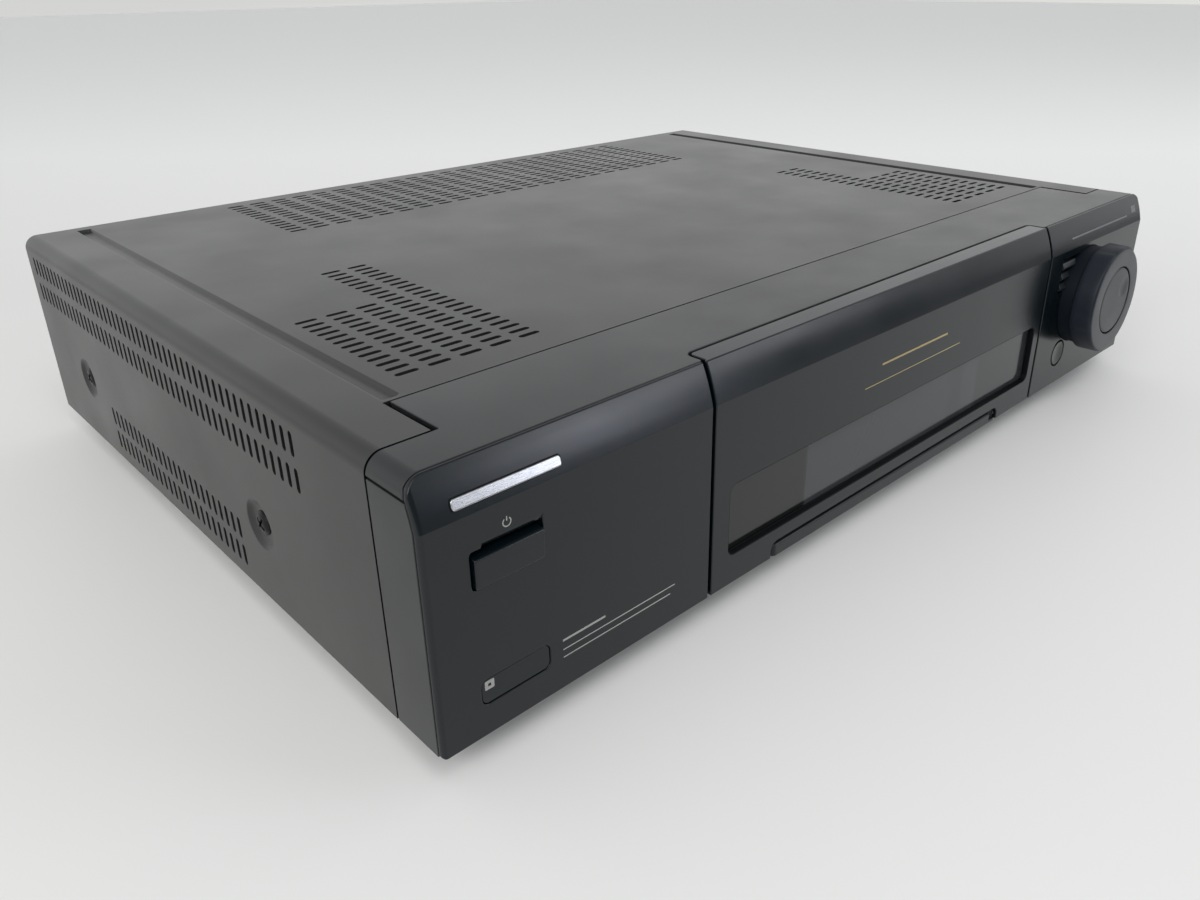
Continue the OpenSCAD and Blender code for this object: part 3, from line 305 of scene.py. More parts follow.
def rampAt(nodes, links, source, near, far):
    # 0 at the near value and 1 at the far one
    ramp = nodes.new("ShaderNodeMapRange")
    ramp.inputs["From Min"].default_value = near
    ramp.inputs["From Max"].default_value = far
    links.new(source, ramp.inputs["Value"])
    return ramp.outputs["Result"]


def blendOver(nodes, links, factor, below, above):
    # lays a plain colour over a linked one by the factor
    mix = nodes.new("ShaderNodeMix")
    mix.data_type = "RGBA"
    mix.inputs[7].default_value = (*above, 1)
    links.new(factor, mix.inputs[0])
    links.new(below, mix.inputs[6])
    return mix.outputs[2]


def surface(name, light, dark, rough, metallic=0.0, blotch=18.0, grain=1600.0, bump=0.06, height=0.00006,
            coat=0.0, coatRough=0.1, stretch=(1, 1, 1), specular=0.5, detail=3.0):
    # a moulded or painted finish: slow colour change, uneven gloss and a fine grain
    material, nodes, links, shader = newMaterial(name)
    slow = noiseAt(nodes, links, blotch, 4.0, stretch)
    links.new(blend(nodes, links, spread(nodes, links, slow.outputs["Fac"], 0.0, 1.0), dark, light),
              shader.inputs["Base Color"])
    links.new(spread(nodes, links, noiseAt(nodes, links, blotch * 2.7, 5.0, stretch).outputs["Fac"], *rough),
              shader.inputs["Roughness"])
    fine = noiseAt(nodes, links, grain, detail, stretch)
    relief = nodes.new("ShaderNodeBump")
    relief.inputs["Strength"].default_value = bump
    relief.inputs["Distance"].default_value = height
    links.new(fine.outputs["Fac"], relief.inputs["Height"])
    links.new(relief.outputs["Normal"], shader.inputs["Normal"])
    shader.inputs["Metallic"].default_value = metallic
    shader.inputs["Specular IOR Level"].default_value = specular
    shader.inputs["Coat Weight"].default_value = coat
    shader.inputs["Coat Roughness"].default_value = coatRough
    return material


# Light tone, dark tone and roughness of each finish, and what differs from a plain one
finishLooks = {
    "coverPaint": [(0.021, 0.0215, 0.0205), (0.016, 0.0165, 0.016), (0.29, 0.36),
                   {"blotch": 9, "grain": 2600, "bump": 0.22, "specular": 0.42}],
    "bezelPlastic": [(0.017, 0.0185, 0.0195), (0.013, 0.0145, 0.0155), (0.29, 0.36),
                     {"blotch": 12, "grain": 3200, "bump": 0.25, "specular": 0.42}],
    "faceLacquer": [(0.0024, 0.0052, 0.0070), (0.0015, 0.0040, 0.0056), (0.19, 0.25),
                    {"blotch": 12, "grain": 4200, "bump": 0.2, "specular": 0.4}],
    # near-black painted shade, for recesses, seams, creases and the walls seen through gaps
    "paintedShadeBlack": [(0.004, 0.005, 0.006), (0.002, 0.003, 0.004), (0.45, 0.6), {"specular": 0.12}],
    # black plastic, darkened further as painted shade where the ring shades the collar
    "collarBlackAndShade": [(0.004, 0.007, 0.012), (0.003, 0.005, 0.009), (0.5, 0.62), {"specular": 0.14}],
    "dialSide": [(0.011, 0.015, 0.023), (0.008, 0.011, 0.017), (0.45, 0.55), {"specular": 0.25}],
    "dialFace": [(0.054, 0.058, 0.061), (0.043, 0.047, 0.05), (0.34, 0.42), {"metallic": 0.45}],
    "jogFace": [(0.041, 0.044, 0.047), (0.033, 0.036, 0.039), (0.34, 0.42), {"metallic": 0.4}],
    "keyLacquer": [(0.015, 0.018, 0.022), (0.011, 0.014, 0.017), (0.34, 0.42), {"specular": 0.36}],
    "screwBlack": [(0.012, 0.012, 0.013), (0.006, 0.006, 0.007), (0.25, 0.45), {"metallic": 0.7}],
    "footRubber": [(0.022, 0.022, 0.023), (0.014, 0.014, 0.015), (0.6, 0.75), {"grain": 900}],
    "zincSteel": [(0.62, 0.62, 0.60), (0.48, 0.49, 0.48), (0.3, 0.45),
                  {"metallic": 0.95, "blotch": 60, "grain": 900, "bump": 0.1}],
    "brightSteel": [(0.74, 0.75, 0.77), (0.62, 0.63, 0.65), (0.16, 0.26),
                    {"metallic": 1.0, "blotch": 40, "grain": 1400, "bump": 0.08, "stretch": (1, 1, 6)}],
    "boardGreen": [(0.02, 0.10, 0.05), (0.012, 0.07, 0.035), (0.35, 0.5), {"blotch": 160}],
    "boardBrown": [(0.30, 0.19, 0.09), (0.22, 0.14, 0.06), (0.45, 0.6), {"blotch": 120}],
    "tubeGlass": [(0.16, 0.19, 0.18), (0.10, 0.12, 0.12), (0.08, 0.15), {"coat": 0.6}],
    "windingTape": [(0.32, 0.22, 0.07), (0.20, 0.13, 0.04), (0.4, 0.55),
                    {"blotch": 80, "stretch": (1, 1, 8)}],
    "bronze": [(0.62, 0.42, 0.20), (0.45, 0.30, 0.14), (0.3, 0.45), {"metallic": 0.95}],
    "whitePlastic": [(0.72, 0.71, 0.67), (0.62, 0.61, 0.58), (0.4, 0.5), {"blotch": 40}],
    "sleeve": [(0.03, 0.05, 0.12), (0.02, 0.03, 0.08), (0.25, 0.35), {"blotch": 50, "coat": 0.3}],
    "socketBlack": [(0.025, 0.025, 0.027), (0.016, 0.016, 0.018), (0.35, 0.5), {}],
    "rollerRubber": [(0.03, 0.03, 0.03), (0.02, 0.02, 0.02), (0.5, 0.65), {"grain": 1200}],
    "badgeSilver": [(0.70, 0.71, 0.72), (0.58, 0.59, 0.60), (0.22, 0.32),
                    {"metallic": 0.9, "blotch": 200, "stretch": (1, 12, 12)}],
    "printGrey": [(0.34, 0.34, 0.32), (0.27, 0.27, 0.26), (0.5, 0.6), {}],
    "printDim": [(0.17, 0.175, 0.18), (0.14, 0.145, 0.15), (0.45, 0.55), {"specular": 0.4}],
    "printGold": [(0.42, 0.34, 0.16), (0.33, 0.26, 0.12), (0.4, 0.5), {"metallic": 0.3}],
    "smokedPane": [(0.010, 0.013, 0.015), (0.008, 0.011, 0.013), (0.12, 0.18),
                   {"blotch": 20, "bump": 0.02, "specular": 0.3}],
}
finishes = {name: surface(name, light, dark, rough, **more)
            for name, (light, dark, rough, more) in finishLooks.items()}


def paneMaterial():
    # the pane is printed dark outside the display's field, with soft changes of tone along its length
    material, nodes, links, shader = newMaterial("windowPane")
    place = nodes.new("ShaderNodeTexCoord")
    split = nodes.new("ShaderNodeSeparateXYZ")
    ramp = nodes.new("ShaderNodeValToRGB")
    along = nodes.new("ShaderNodeMapRange")
    along.inputs["From Min"].default_value = pane["x"][0] * mm
    along.inputs["From Max"].default_value = pane["x"][1] * mm
    links.new(place.outputs["Object"], split.inputs["Vector"])
    links.new(split.outputs["X"], along.inputs["Value"])
    links.new(along.outputs["Result"], ramp.inputs["Fac"])
    length = pane["x"][1] - pane["x"][0]
    stops = ramp.color_ramp.elements
    stops[0].position, stops[0].color = 0.0, (*pane["tones"][0][1], 1)
    stops[1].position, stops[1].color = 1.0, (*pane["tones"][-1][1], 1)
    for (endX, tone), (_, following) in zip(pane["tones"], pane["tones"][1:]):
        for shift, colour in ((-pane["blur"], tone), (pane["blur"], following)):
            stop = stops.new((endX + shift - pane["x"][0]) / length)
            stop.color = (*colour, 1)
    haze = noiseAt(nodes, links, 30, 3.0)
    links.new(ramp.outputs["Color"], shader.inputs["Base Color"])
    links.new(spread(nodes, links, haze.outputs["Fac"], *pane["rough"]), shader.inputs["Roughness"])
    shader.inputs["Specular IOR Level"].default_value = 0.5
    return material


pane = {
    "x": (-103.5, 106.5), "z": (11.5, 37.3), "recess": 2.6, "thick": 1.8, "cornerR": 3.0,
    "blur": 0.3, "rough": (0.10, 0.17),
    "tones": [(-60, (0.006, 0.007, 0.006)), (38, (0.036, 0.037, 0.040)), (49, (0.030, 0.032, 0.034)),
              (61, (0.038, 0.040, 0.042)), (107, (0.026, 0.029, 0.030))],
}
finishes["windowPane"] = paneMaterial()

nodeFinish = {
    "coverPaint": ["top_cover"],
    "bezelPlastic": ["bezel_frame"],
    "zincSteel": ["bottom_chassis", "deck_chassis", "door_hinge_pins", "dial_encoder", "tuner_can",
                  "drum_rotor", "pinch_arm", "loading_motor", "cassette_holder", "carriage_slider",
                  "carriage_frame"],
    "socketBlack": ["rear_panel", "mains_inlet", "upper_scart_socket", "lower_scart_socket", "phono_sockets"],
    "screwBlack": ["rear_screws", "cover_screws"],
    "boardGreen": ["left_switch_board", "right_switch_board", "display_board", "main_board"],
    "boardBrown": ["power_board"],
    "tubeGlass": ["display_tube"],
    "windingTape": ["transformer"],
    "sleeve": ["main_capacitor"],
    "brightSteel": ["heat_sink", "lower_drum", "upper_drum", "capstan", "supply_guide", "take_up_guide",
                    "head_stack"],
    "bronze": ["capstan_bearing", "loading_worm"],
    "rollerRubber": ["pinch_roller", "idler_wheel"],
    "whitePlastic": ["supply_reel_table", "take_up_reel_table", "cam_gear"],
    "footRubber": ["foot_front_left", "foot_front_right", "foot_rear_left", "foot_rear_right"],
    "faceLacquer": ["left_face", "right_face", "door_panel", "door_hinge_bar", "power_button",
                    "round_button"],
    "keyLacquer": ["upper_slim_button", "middle_slim_button", "lower_slim_button", "shuttle_ring",
                   "jog_disc"],
    "collarBlackAndShade": ["dial_collar"],
    "smokedPane": ["door_window", "ir_window"],
}
for finish, members in nodeFinish.items():
    for member in members:
        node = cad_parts[member]
        node.data.materials.clear()
        node.data.materials.append(finishes[finish])
print("materials made")

# Front plates


def split(bm, place, normal):
    bmesh.ops.bisect_plane(bm, geom=bm.verts[:] + bm.edges[:] + bm.faces[:], dist=0.0001,
                           plane_co=place, plane_no=normal)


def leanBack(bm, deepest=None):
    # cuts the band into steps and moves them back onto its arc, but no point behind the deepest
    for level in bandLevels():
        split(bm, (0, 0, level), (0, 0, 1))
    for v in bm.verts:
        shift = bandSetback(v.co.z)
        if deepest is not None and v.co.y > 0.5:
            shift = min(shift, deepest - v.co.y)
        v.co.y += shift
    return bm


facePlate = {"edge": 0.35, "outerEdge": 1.6, "footR": 1.5}
powerKey = {"x": (-201.2, -179.2), "z": (46.9, 55.9), "gapLeft": 0.4, "gapRight": 0.4, "gap": 0.6,
            "headroom": 1.4, "front": -1.4, "scoopRise": 2.1, "scoopDepth": 0.9, "scoopStart": 3.2,
            "pocketR": 0.8}
sensor = {"x": (-201.4, -178.6), "z": (10.0, 17.8), "r": 2.0, "gap": 0.15}
dial = {"x": 153.5, "z": 42.6, "ringR": 25.0, "collarR": 23.2, "front": -16.0, "collarFront": -5.6,
        "jogR": 15.7, "hubR": 8.0, "shaftR": 5.0, "gap": 0.15, "boreR": 19.2}
slimKeys = {"x": (126.5, 147.5), "top": 60.6, "pitch": 4.9, "h": 3.7, "gap": 0.6, "headroom": 1.9,
            "dialGap": 0.6}
roundKey = {"x": 138.2, "z": 16.0, "r": 6.0, "gap": 0.6}


def facePlateShape(x0, x1, cornerIndex, footIndex):
    # the plan with its rounded outer edge, trimmed to the front view's outline
    item = makeObject("plate", solid("xy", corners((x0, x1), (0, case["plateT"])), -1, case["top"] + 1,
                                     {footIndex: facePlate["outerEdge"]}, 5))
    view = {cornerIndex: case["cornerR"], footIndex: facePlate["footR"]}
    cut(item, solid("xz", corners((x0, x1), (0, case["top"])), -1, 5, view, 12), operation="INTERSECT")
    return leanBack(released(item), case["seamY"])


def slopedPocket():
    # the scooped slope above the power button, which starts a little way in from its left end
    z, rise, depth = powerKey["z"][1] + powerKey["headroom"], powerKey["scoopRise"], powerKey["scoopDepth"]
    return solid("yz", [(-1, z + rise * 2), (0, z + rise), (depth, z), (depth, z - 1), (-1, z - 1)],
                 powerKey["x"][0] + powerKey["scoopStart"], powerKey["x"][1] + powerKey["gapRight"])


def disc(x, z, radius, y0, y1, steps=64):
    bm = bmesh.new()
    bmesh.ops.create_circle(bm, cap_ends=True, radius=radius, segments=steps)
    bmesh.ops.rotate(bm, cent=(0, 0, 0), matrix=Matrix.Rotation(math.radians(90), 3, "X"), verts=bm.verts)
    bmesh.ops.translate(bm, vec=(x, y0, z), verts=bm.verts)
    carried(bm, bm.faces[:][0], "xz", y1 - y0)
    bmesh.ops.recalc_face_normals(bm, faces=bm.faces)
    return bm


def leftPocket(y0, y1):
    x = (powerKey["x"][0] - powerKey["gapLeft"], powerKey["x"][1] + powerKey["gapRight"])
    z = (powerKey["z"][0] - powerKey["gap"], powerKey["z"][1] + powerKey["headroom"])
    return solid("xz", corners(x, z), y0, y1, everyCorner(powerKey["pocketR"]), 3)


def slimPocket(y0, y1):
    low = slimKeys["top"] - 2 * slimKeys["pitch"] - slimKeys["h"] / 2 - slimKeys["gap"]
    high = slimKeys["top"] + slimKeys["h"] / 2 + slimKeys["headroom"]
    return solid("xz", corners((slimKeys["x"][0] - slimKeys["gap"], slimKeys["x"][1]), (low, high)), y0, y1,
                 {0: 0.6, 3: 0.6}, 3)


def buildFaces():
    depth = case["plateT"] + 1
    look = {"slot": "face_plastic", "edge": facePlate["edge"], "segments": 3}
    gap = sensor["gap"]
    sensorHole = solid("xz", corners(widened(sensor["x"], gap), widened(sensor["z"], gap)), -1, depth,
                       everyCorner(sensor["r"] + gap), 5)
    piece("leftFace", facePlateShape(-case["side"], -case["jamb"], 3, 0), finishes["faceLacquer"],
          replaces=["left_face"], cuts=[leftPocket(-1, depth), slopedPocket(), sensorHole], **look)
    piece("rightFace", facePlateShape(case["jamb"], case["side"], 2, 1), finishes["faceLacquer"],
          replaces=["right_face"], cuts=[
              slimPocket(-1, depth),
              disc(dial["x"], dial["z"], dial["collarR"] + dial["gap"], -1, depth, 96),
              disc(roundKey["x"], roundKey["z"], roundKey["r"] + roundKey["gap"], -1, depth, 48)], **look)


# Bezel

bezel = {
    "front": 2.4, "topFront": 5.9, "sideDepth": 21.8, "topDepth": 45.4, "topSide": 193.4, "wall": 2.0,
    "notchSide": 112.0, "notchDepth": 13.5, "notchR": 3.0, "gapSide": 112.6, "gapDepth": 6.4,
    "creaseSide": 214.4, "creaseY": (3.0, 22.6), "creaseZ": (75.0, 75.7), "edge": 0.3,
}
# The walls behind the face plates, finished near-black as painted shade where they show through the openings
carrier = {
    "y": (2.05, 4.0), "deepest": 7.0, "topGap": 2.5, "cornerR": 4.0, "jambT": 2.0, "jambY": (2.6, 13.8),
    "floorY": (3.0, 21.0), "floorT": 2.0, "lugSide": 112.1, "lugIn": 0.5, "lugY": (2.1, 12.0),
    "lugZ": (0.02, 3.0), "sensorHoleR": 3.0, "edge": 0.2,
}
# The wall behind the door, with the cassette mouth and the display's window, finished near-black as painted
# shade behind the door's gaps
bay = {
    "side": 113.2, "y": (11.8, 13.8), "high": 78.4, "mouthX": (-96, 96), "mouthZ": (46.9, 74.4),
    "displayX": (-66, 62), "displayZ": (14, 38), "restSide": 112, "restY": (13.6, 15.4), "restZ": (73, 79),
}


def caseArc(side, top, radius, steps):
    # the rounded upper corner at the right, from the side up to the top
    return [(side - radius + radius * math.cos(math.radians(90 * i / steps)),
             top - radius + radius * math.sin(math.radians(90 * i / steps))) for i in range(steps + 1)]


def sheetAlong(path, y0, y1):
    # an open sheet: the (x, z) path carried along y
    bm = bmesh.new()
    verts = [bm.verts.new((x, y0, z)) for x, z in path]
    edges = [bm.edges.new(pair) for pair in zip(verts, verts[1:])]
    grown = bmesh.ops.extrude_edge_only(bm, edges=edges)
    moved = [v for v in grown["geom"] if isinstance(v, bmesh.types.BMVert)]
    bmesh.ops.translate(bm, verts=moved, vec=(0, y1 - y0, 0))
    bmesh.ops.recalc_face_normals(bm, faces=bm.faces)
    return bm


def thickened(bm, thickness):
    # gives the sheet its wall on the inside, whichever way its faces point
    up = max(bm.faces, key=lambda f: f.calc_center_median().z)
    if up.normal.z < 0:
        bmesh.ops.reverse_faces(bm, faces=bm.faces)
    bmesh.ops.solidify(bm, geom=bm.faces[:], thickness=thickness)
    bmesh.ops.recalc_face_normals(bm, faces=bm.faces)
    return bm


def dropFaces(bm, unwanted):
    faces = [f for f in bm.faces if unwanted(f.calc_center_median())]
    bmesh.ops.delete(bm, geom=faces, context="FACES")


def mirroredPath(right):
    return right + [(-x, z) for x, z in reversed(right)]


def bezelShape():
    arc = caseArc(case["side"], case["top"], case["cornerR"], 14)
    bm = sheetAlong(mirroredPath([(case["side"], 0)] + arc + [(bezel["topSide"], case["top"])]),
                    bezel["front"], bezel["topDepth"])
    split(bm, (0, bezel["sideDepth"], 0), (0, 1, 0))
    dropFaces(bm, lambda c: c.y > bezel["sideDepth"] and (
        abs(c.x) > bezel["topSide"] or c.z < case["top"] - 0.1))
    for level in bandLevels():
        split(bm, (0, 0, level), (0, 0, 1))
    for v in bm.verts:
        if v.co.y < bezel["front"] + 0.1:
            v.co.y = min(v.co.y + bandSetback(v.co.z), bezel["topFront"])
    return thickened(bm, bezel["wall"])


def buildCarrier(name, side, openings):
    # the wall behind one face plate, with its floor and the jamb beside the door
    inner, outer = side * case["jamb"], side * (case["side"] - bezel["wall"])
    high = case["top"] - carrier["topGap"]
    points = [(inner, 0), (outer, 0), (outer, high), (inner, high)]
    wall = solid("xz", points, *carrier["y"], {2: carrier["cornerR"]}, 6)
    item = makeObject(name, leanBack(wall, carrier["deepest"]))
    cut(item, *openings)
    jamb = sorted((inner, inner + side * carrier["jambT"]))
    floor = sorted((inner, outer))
    lug = sorted((side * carrier["lugSide"], inner + side * carrier["lugIn"]))
    cut(item, box(jamb, carrier["jambY"], (0.01, case["faceTop"] - 1)),
        box(floor, carrier["floorY"], (-0.01, carrier["floorT"])),
        box(lug, carrier["lugY"], carrier["lugZ"]), operation="UNION")
    finished(item, finishes["paintedShadeBlack"], "case", edge=carrier["edge"])


def buildBezel():
    side, depth, high = bezel["notchSide"], bezel["notchDepth"], case["top"] + 3
    notch = solid("xy", corners((-side, side), (-20, depth)), 78.5, high,
                  {2: bezel["notchR"], 3: bezel["notchR"]}, 6)
    gap = box((-bezel["gapSide"], bezel["gapSide"]), (-1, bezel["gapDepth"]), (75, high))
    creaseX, creaseZ = bezel["creaseSide"], bezel["creaseZ"]
    creases = both(lambda: box((creaseX, case["side"] + 1), bezel["creaseY"], creaseZ))
    shell = piece("bezelShell", bezelShape(), finishes["bezelPlastic"], replaces=["bezel_frame"],
                  slot="bezel_plastic", edge=bezel["edge"], segments=2, cuts=[notch, gap, creases])
    # the rear edge at the sides and the walls of the creases, painted near-black as the shade in the seams
    # and creases
    paint(shell, finishes["paintedShadeBlack"], lambda c, n: (
        abs(c.x) > 208 and c.y > bezel["sideDepth"] - 0.25
        or creaseZ[0] - 0.1 < c.z < creaseZ[1] + 0.1 and creaseX - 0.4 < abs(c.x) < case["side"] - 0.05))
    through = (5, 20)
    piece("bayWall", box((-bay["side"], bay["side"]), bay["y"], (0, bay["high"])), finishes["paintedShadeBlack"],
          slot="bezel_plastic", edge=bezel["edge"],
          cuts=[box(bay["mouthX"], through, bay["mouthZ"]), box(bay["displayX"], through, bay["displayZ"])])
    # the rest under the door's lip is near-black as painted shade
    piece("lipRest", box((-bay["restSide"], bay["restSide"]), bay["restY"], bay["restZ"]),
          finishes["paintedShadeBlack"], slot="bezel_plastic", edge=carrier["edge"])
    front, back = 1, carrier["deepest"]
    buildCarrier("rightCarrier", 1, [
        slimPocket(front, back), disc(dial["x"], dial["z"], dial["boreR"], front, back),
        disc(roundKey["x"], roundKey["z"], roundKey["r"] + roundKey["gap"], front, back)])
    sensorX, sensorZ = sum(sensor["x"]) / 2, sum(sensor["z"]) / 2
    buildCarrier("leftCarrier", -1, [
        leftPocket(front, back), disc(sensorX, sensorZ, carrier["sensorHoleR"], front, back, 32)])


# Door

door = {
    "side": 111.75, "t": 2.4, "lipSide": 111.0, "lipDepth": 12.5, "lipT": 2.0, "lipR": 2.0,
    "lipFront": 5.2, "notchTop": 6.0, "notchR": 3.4, "notchGap": 0.8, "edge": 0.4,
    "lugX": (0.9, 16.0), "lugY": (0.6, 5.2), "lugZ": (0.4, 5.2), "braceW": 2.0, "braceY": (2.2, 6.0),
    "braceZ": 8.0, "paneGap": 0.15, "rimW": 2.1,
}
hingeBar = {
    "side": 80.0, "h": 5.0, "d": 5.2, "r": 2.6, "browR": 1.1, "endR": 2.2, "edge": 0.15,
    "recessW": 6.0, "recessD": 1.2, "recessZ": 1.2, "webBack": 11.8, "webH": 3.4,
}


def windowHole(grow, y0, y1):
    return solid("xz", corners(widened(pane["x"], grow), widened(pane["z"], grow)), y0, y1,
                 everyCorner(pane["cornerR"]), 6)


def buildDoor():
    skin = solid("xz", corners((-door["side"], door["side"]), (0, case["top"])), 0, door["t"])
    leanBack(skin, case["seamY"])
    lip = solid("xy", corners((-door["lipSide"], door["lipSide"]), (door["lipFront"], door["lipDepth"])),
                case["top"] - door["lipT"], case["top"], {2: door["lipR"], 3: door["lipR"]}, 8)
    panel = makeObject("doorPanel", skin)
    cut(panel, lip, operation="UNION")
    notchSide = hingeBar["side"] + door["notchGap"]
    notch = solid("xz", corners((-notchSide, notchSide), (-5, door["notchTop"])), -1, 12,
                  {2: door["notchR"], 3: door["notchR"]}, 8)
    cut(panel, windowHole(door["paneGap"], -1, 6), notch)
    finished(panel, finishes["faceLacquer"], "door", ["door_panel"], door["edge"], 3)
    # the edges round the pane and over the hinge bar lie in shade
    x, z = widened(pane["x"], 0.6), widened(pane["z"], 0.6)
    paint(panel, finishes["paintedShadeBlack"], lambda c, n: (
        x[0] < c.x < x[1] and z[0] < c.z < z[1] and c.y > 0.02))
    paint(panel, finishes["paintedShadeBlack"], lambda c, n: (
        abs(c.x) < notchSide + 0.2 and c.z < door["notchTop"] + 0.2 and c.y > 0.35))
    paneBack = pane["recess"] + pane["thick"]
    # the rim round the pane's recess is near-black, painted shade on the recess walls
    piece("windowRim", windowHole(door["rimW"], door["t"] - 0.05, paneBack), finishes["paintedShadeBlack"], "door",
          slot="face_plastic", edge=0.2, cuts=[windowHole(0.1, 0, 8)])
    lugX = [hingeBar["side"] + x for x in door["lugX"]]
    braceX = (door["side"] - door["braceW"], door["side"])
    ends = both(lambda: gather(box(lugX, door["lugY"], door["lugZ"], 0.5),
                               box(braceX, door["braceY"], (door["braceZ"], case["faceTop"]), 0.3)))
    piece("doorBraces", ends, finishes["faceLacquer"], "door", slot="face_plastic")
    piece("windowPane", windowHole(0.05, pane["recess"], paneBack), finishes["windowPane"], "door",
          ["door_window"], "smoked_window", 0.15)


def buildHingeBar():
    half, depth, height = hingeBar["side"], hingeBar["d"], hingeBar["h"]
    bar = solid("xz", corners((-half, half), (0, height)), 0, depth, {2: hingeBar["r"], 3: hingeBar["r"]}, 8)
    brow = [e for e in bar.edges if all(v.co.y < 0.01 and v.co.z > 0.5 for v in e.verts)]
    bmesh.ops.bevel(bar, geom=brow, offset=hingeBar["browR"], segments=5, profile=0.5, affect="EDGES",
                    material=-1)
    item = makeObject("hingeBar", bar)
    plan = solid("xy", corners((-half, half), (0, 20)), -1, height + 1,
                 {0: hingeBar["endR"], 1: hingeBar["endR"]}, 6)
    cut(item, plan, operation="INTERSECT")
    # the thumb recess at the right end
    recessX, recessZ = half - hingeBar["recessW"], hingeBar["recessZ"]
    cut(item, box((recessX, half + 1), (-1, hingeBar["recessD"]), (recessZ, height + 1), 0.3))
    finished(item, finishes["faceLacquer"], "case", ["door_hinge_bar"], hingeBar["edge"])
    # the thumb recess and the bar's top behind its brow are painted near-black as shade
    paint(item, finishes["paintedShadeBlack"], lambda c, n: (
        recessX - 0.2 < c.x and c.z > recessZ - 0.1 and c.y > 0.1 or n.z > 0.7 and c.y > 0.3))
    # the web behind the bar is near-black as painted shade under the door
    piece("hingeBarWeb", box((-half, half), (depth - 0.2, hingeBar["webBack"]), (0, hingeBar["webH"]), 0.3),
          finishes["paintedShadeBlack"], slot="face_plastic")


# Keys


def buildKeys():
    x, z, front = powerKey["x"], powerKey["z"], powerKey["front"]
    powerShape = solid("yz", [(front + 0.2, z[0]), (6, z[0]), (6, z[1]), (front + 2.2, z[1]),
                              (front, z[1] - 0.35)], x[0], x[1])
    piece("powerKey", gather(powerShape, box((x[0] + 4, x[0] + 8), (5.8, 12), (z[0] + 3, z[1] - 3))),
          finishes["faceLacquer"], "power_key", ["power_button"], "face_plastic", 0.45, 3)
    sx, sz = sensor["x"], sensor["z"]
    piece("sensorWindow", solid("xz", corners(sx, sz), 0.3, 2, everyCorner(sensor["r"]), 6),
          finishes["smokedPane"], replaces=["ir_window"], slot="smoked_window", edge=0.25, segments=3)
    slimX = slimKeys["x"]
    for n, name in enumerate(["upper", "middle", "lower"]):
        low = slimKeys["top"] - n * slimKeys["pitch"] - slimKeys["h"] / 2
        high = low + slimKeys["h"]
        wedge = solid("yz", [(-0.9, low + 1.7), (0.6, high), (7, high), (7, low), (0.8, low)], *slimX)
        key = makeObject(name + "SlimKey", wedge)
        cut(key, disc(dial["x"], dial["z"], dial["collarR"] + slimKeys["dialGap"], -3, 9, 96))
        stem = box((slimX[0] + 0.5, slimX[0] + 1.5), (6.8, 13.3), (low + 0.6, high - 0.6))
        piece(name + "SlimKey", gather(released(key), stem), finishes["keyLacquer"], name + "_key",
              [name + "_slim_button"], "knob_plastic", 0.3, 2)
    r = roundKey["r"]
    profile = [(0, 0.5), (2.5, 0.42), (4.2, 0.2), (r - 0.7, 0), (r - 0.25, 0.08), (r, 0.4), (r, 7),
               (2, 7), (2, 13.3), (0, 13.3)]
    piece("roundKey", turned(profile, (roundKey["x"], 0, roundKey["z"]), 64), finishes["faceLacquer"],
          "round_key", ["round_button"], "face_plastic")


# Dial

ring = {"lugs": [(72, 9), (118, 7), (195, 8), (345, 8)], "lugRise": 0.5, "wellR": 16.05, "wellFloor": -11.6}
thumbDish = {"x": 7.85, "z": 4.7, "r": 4.8, "depth": 0.65}


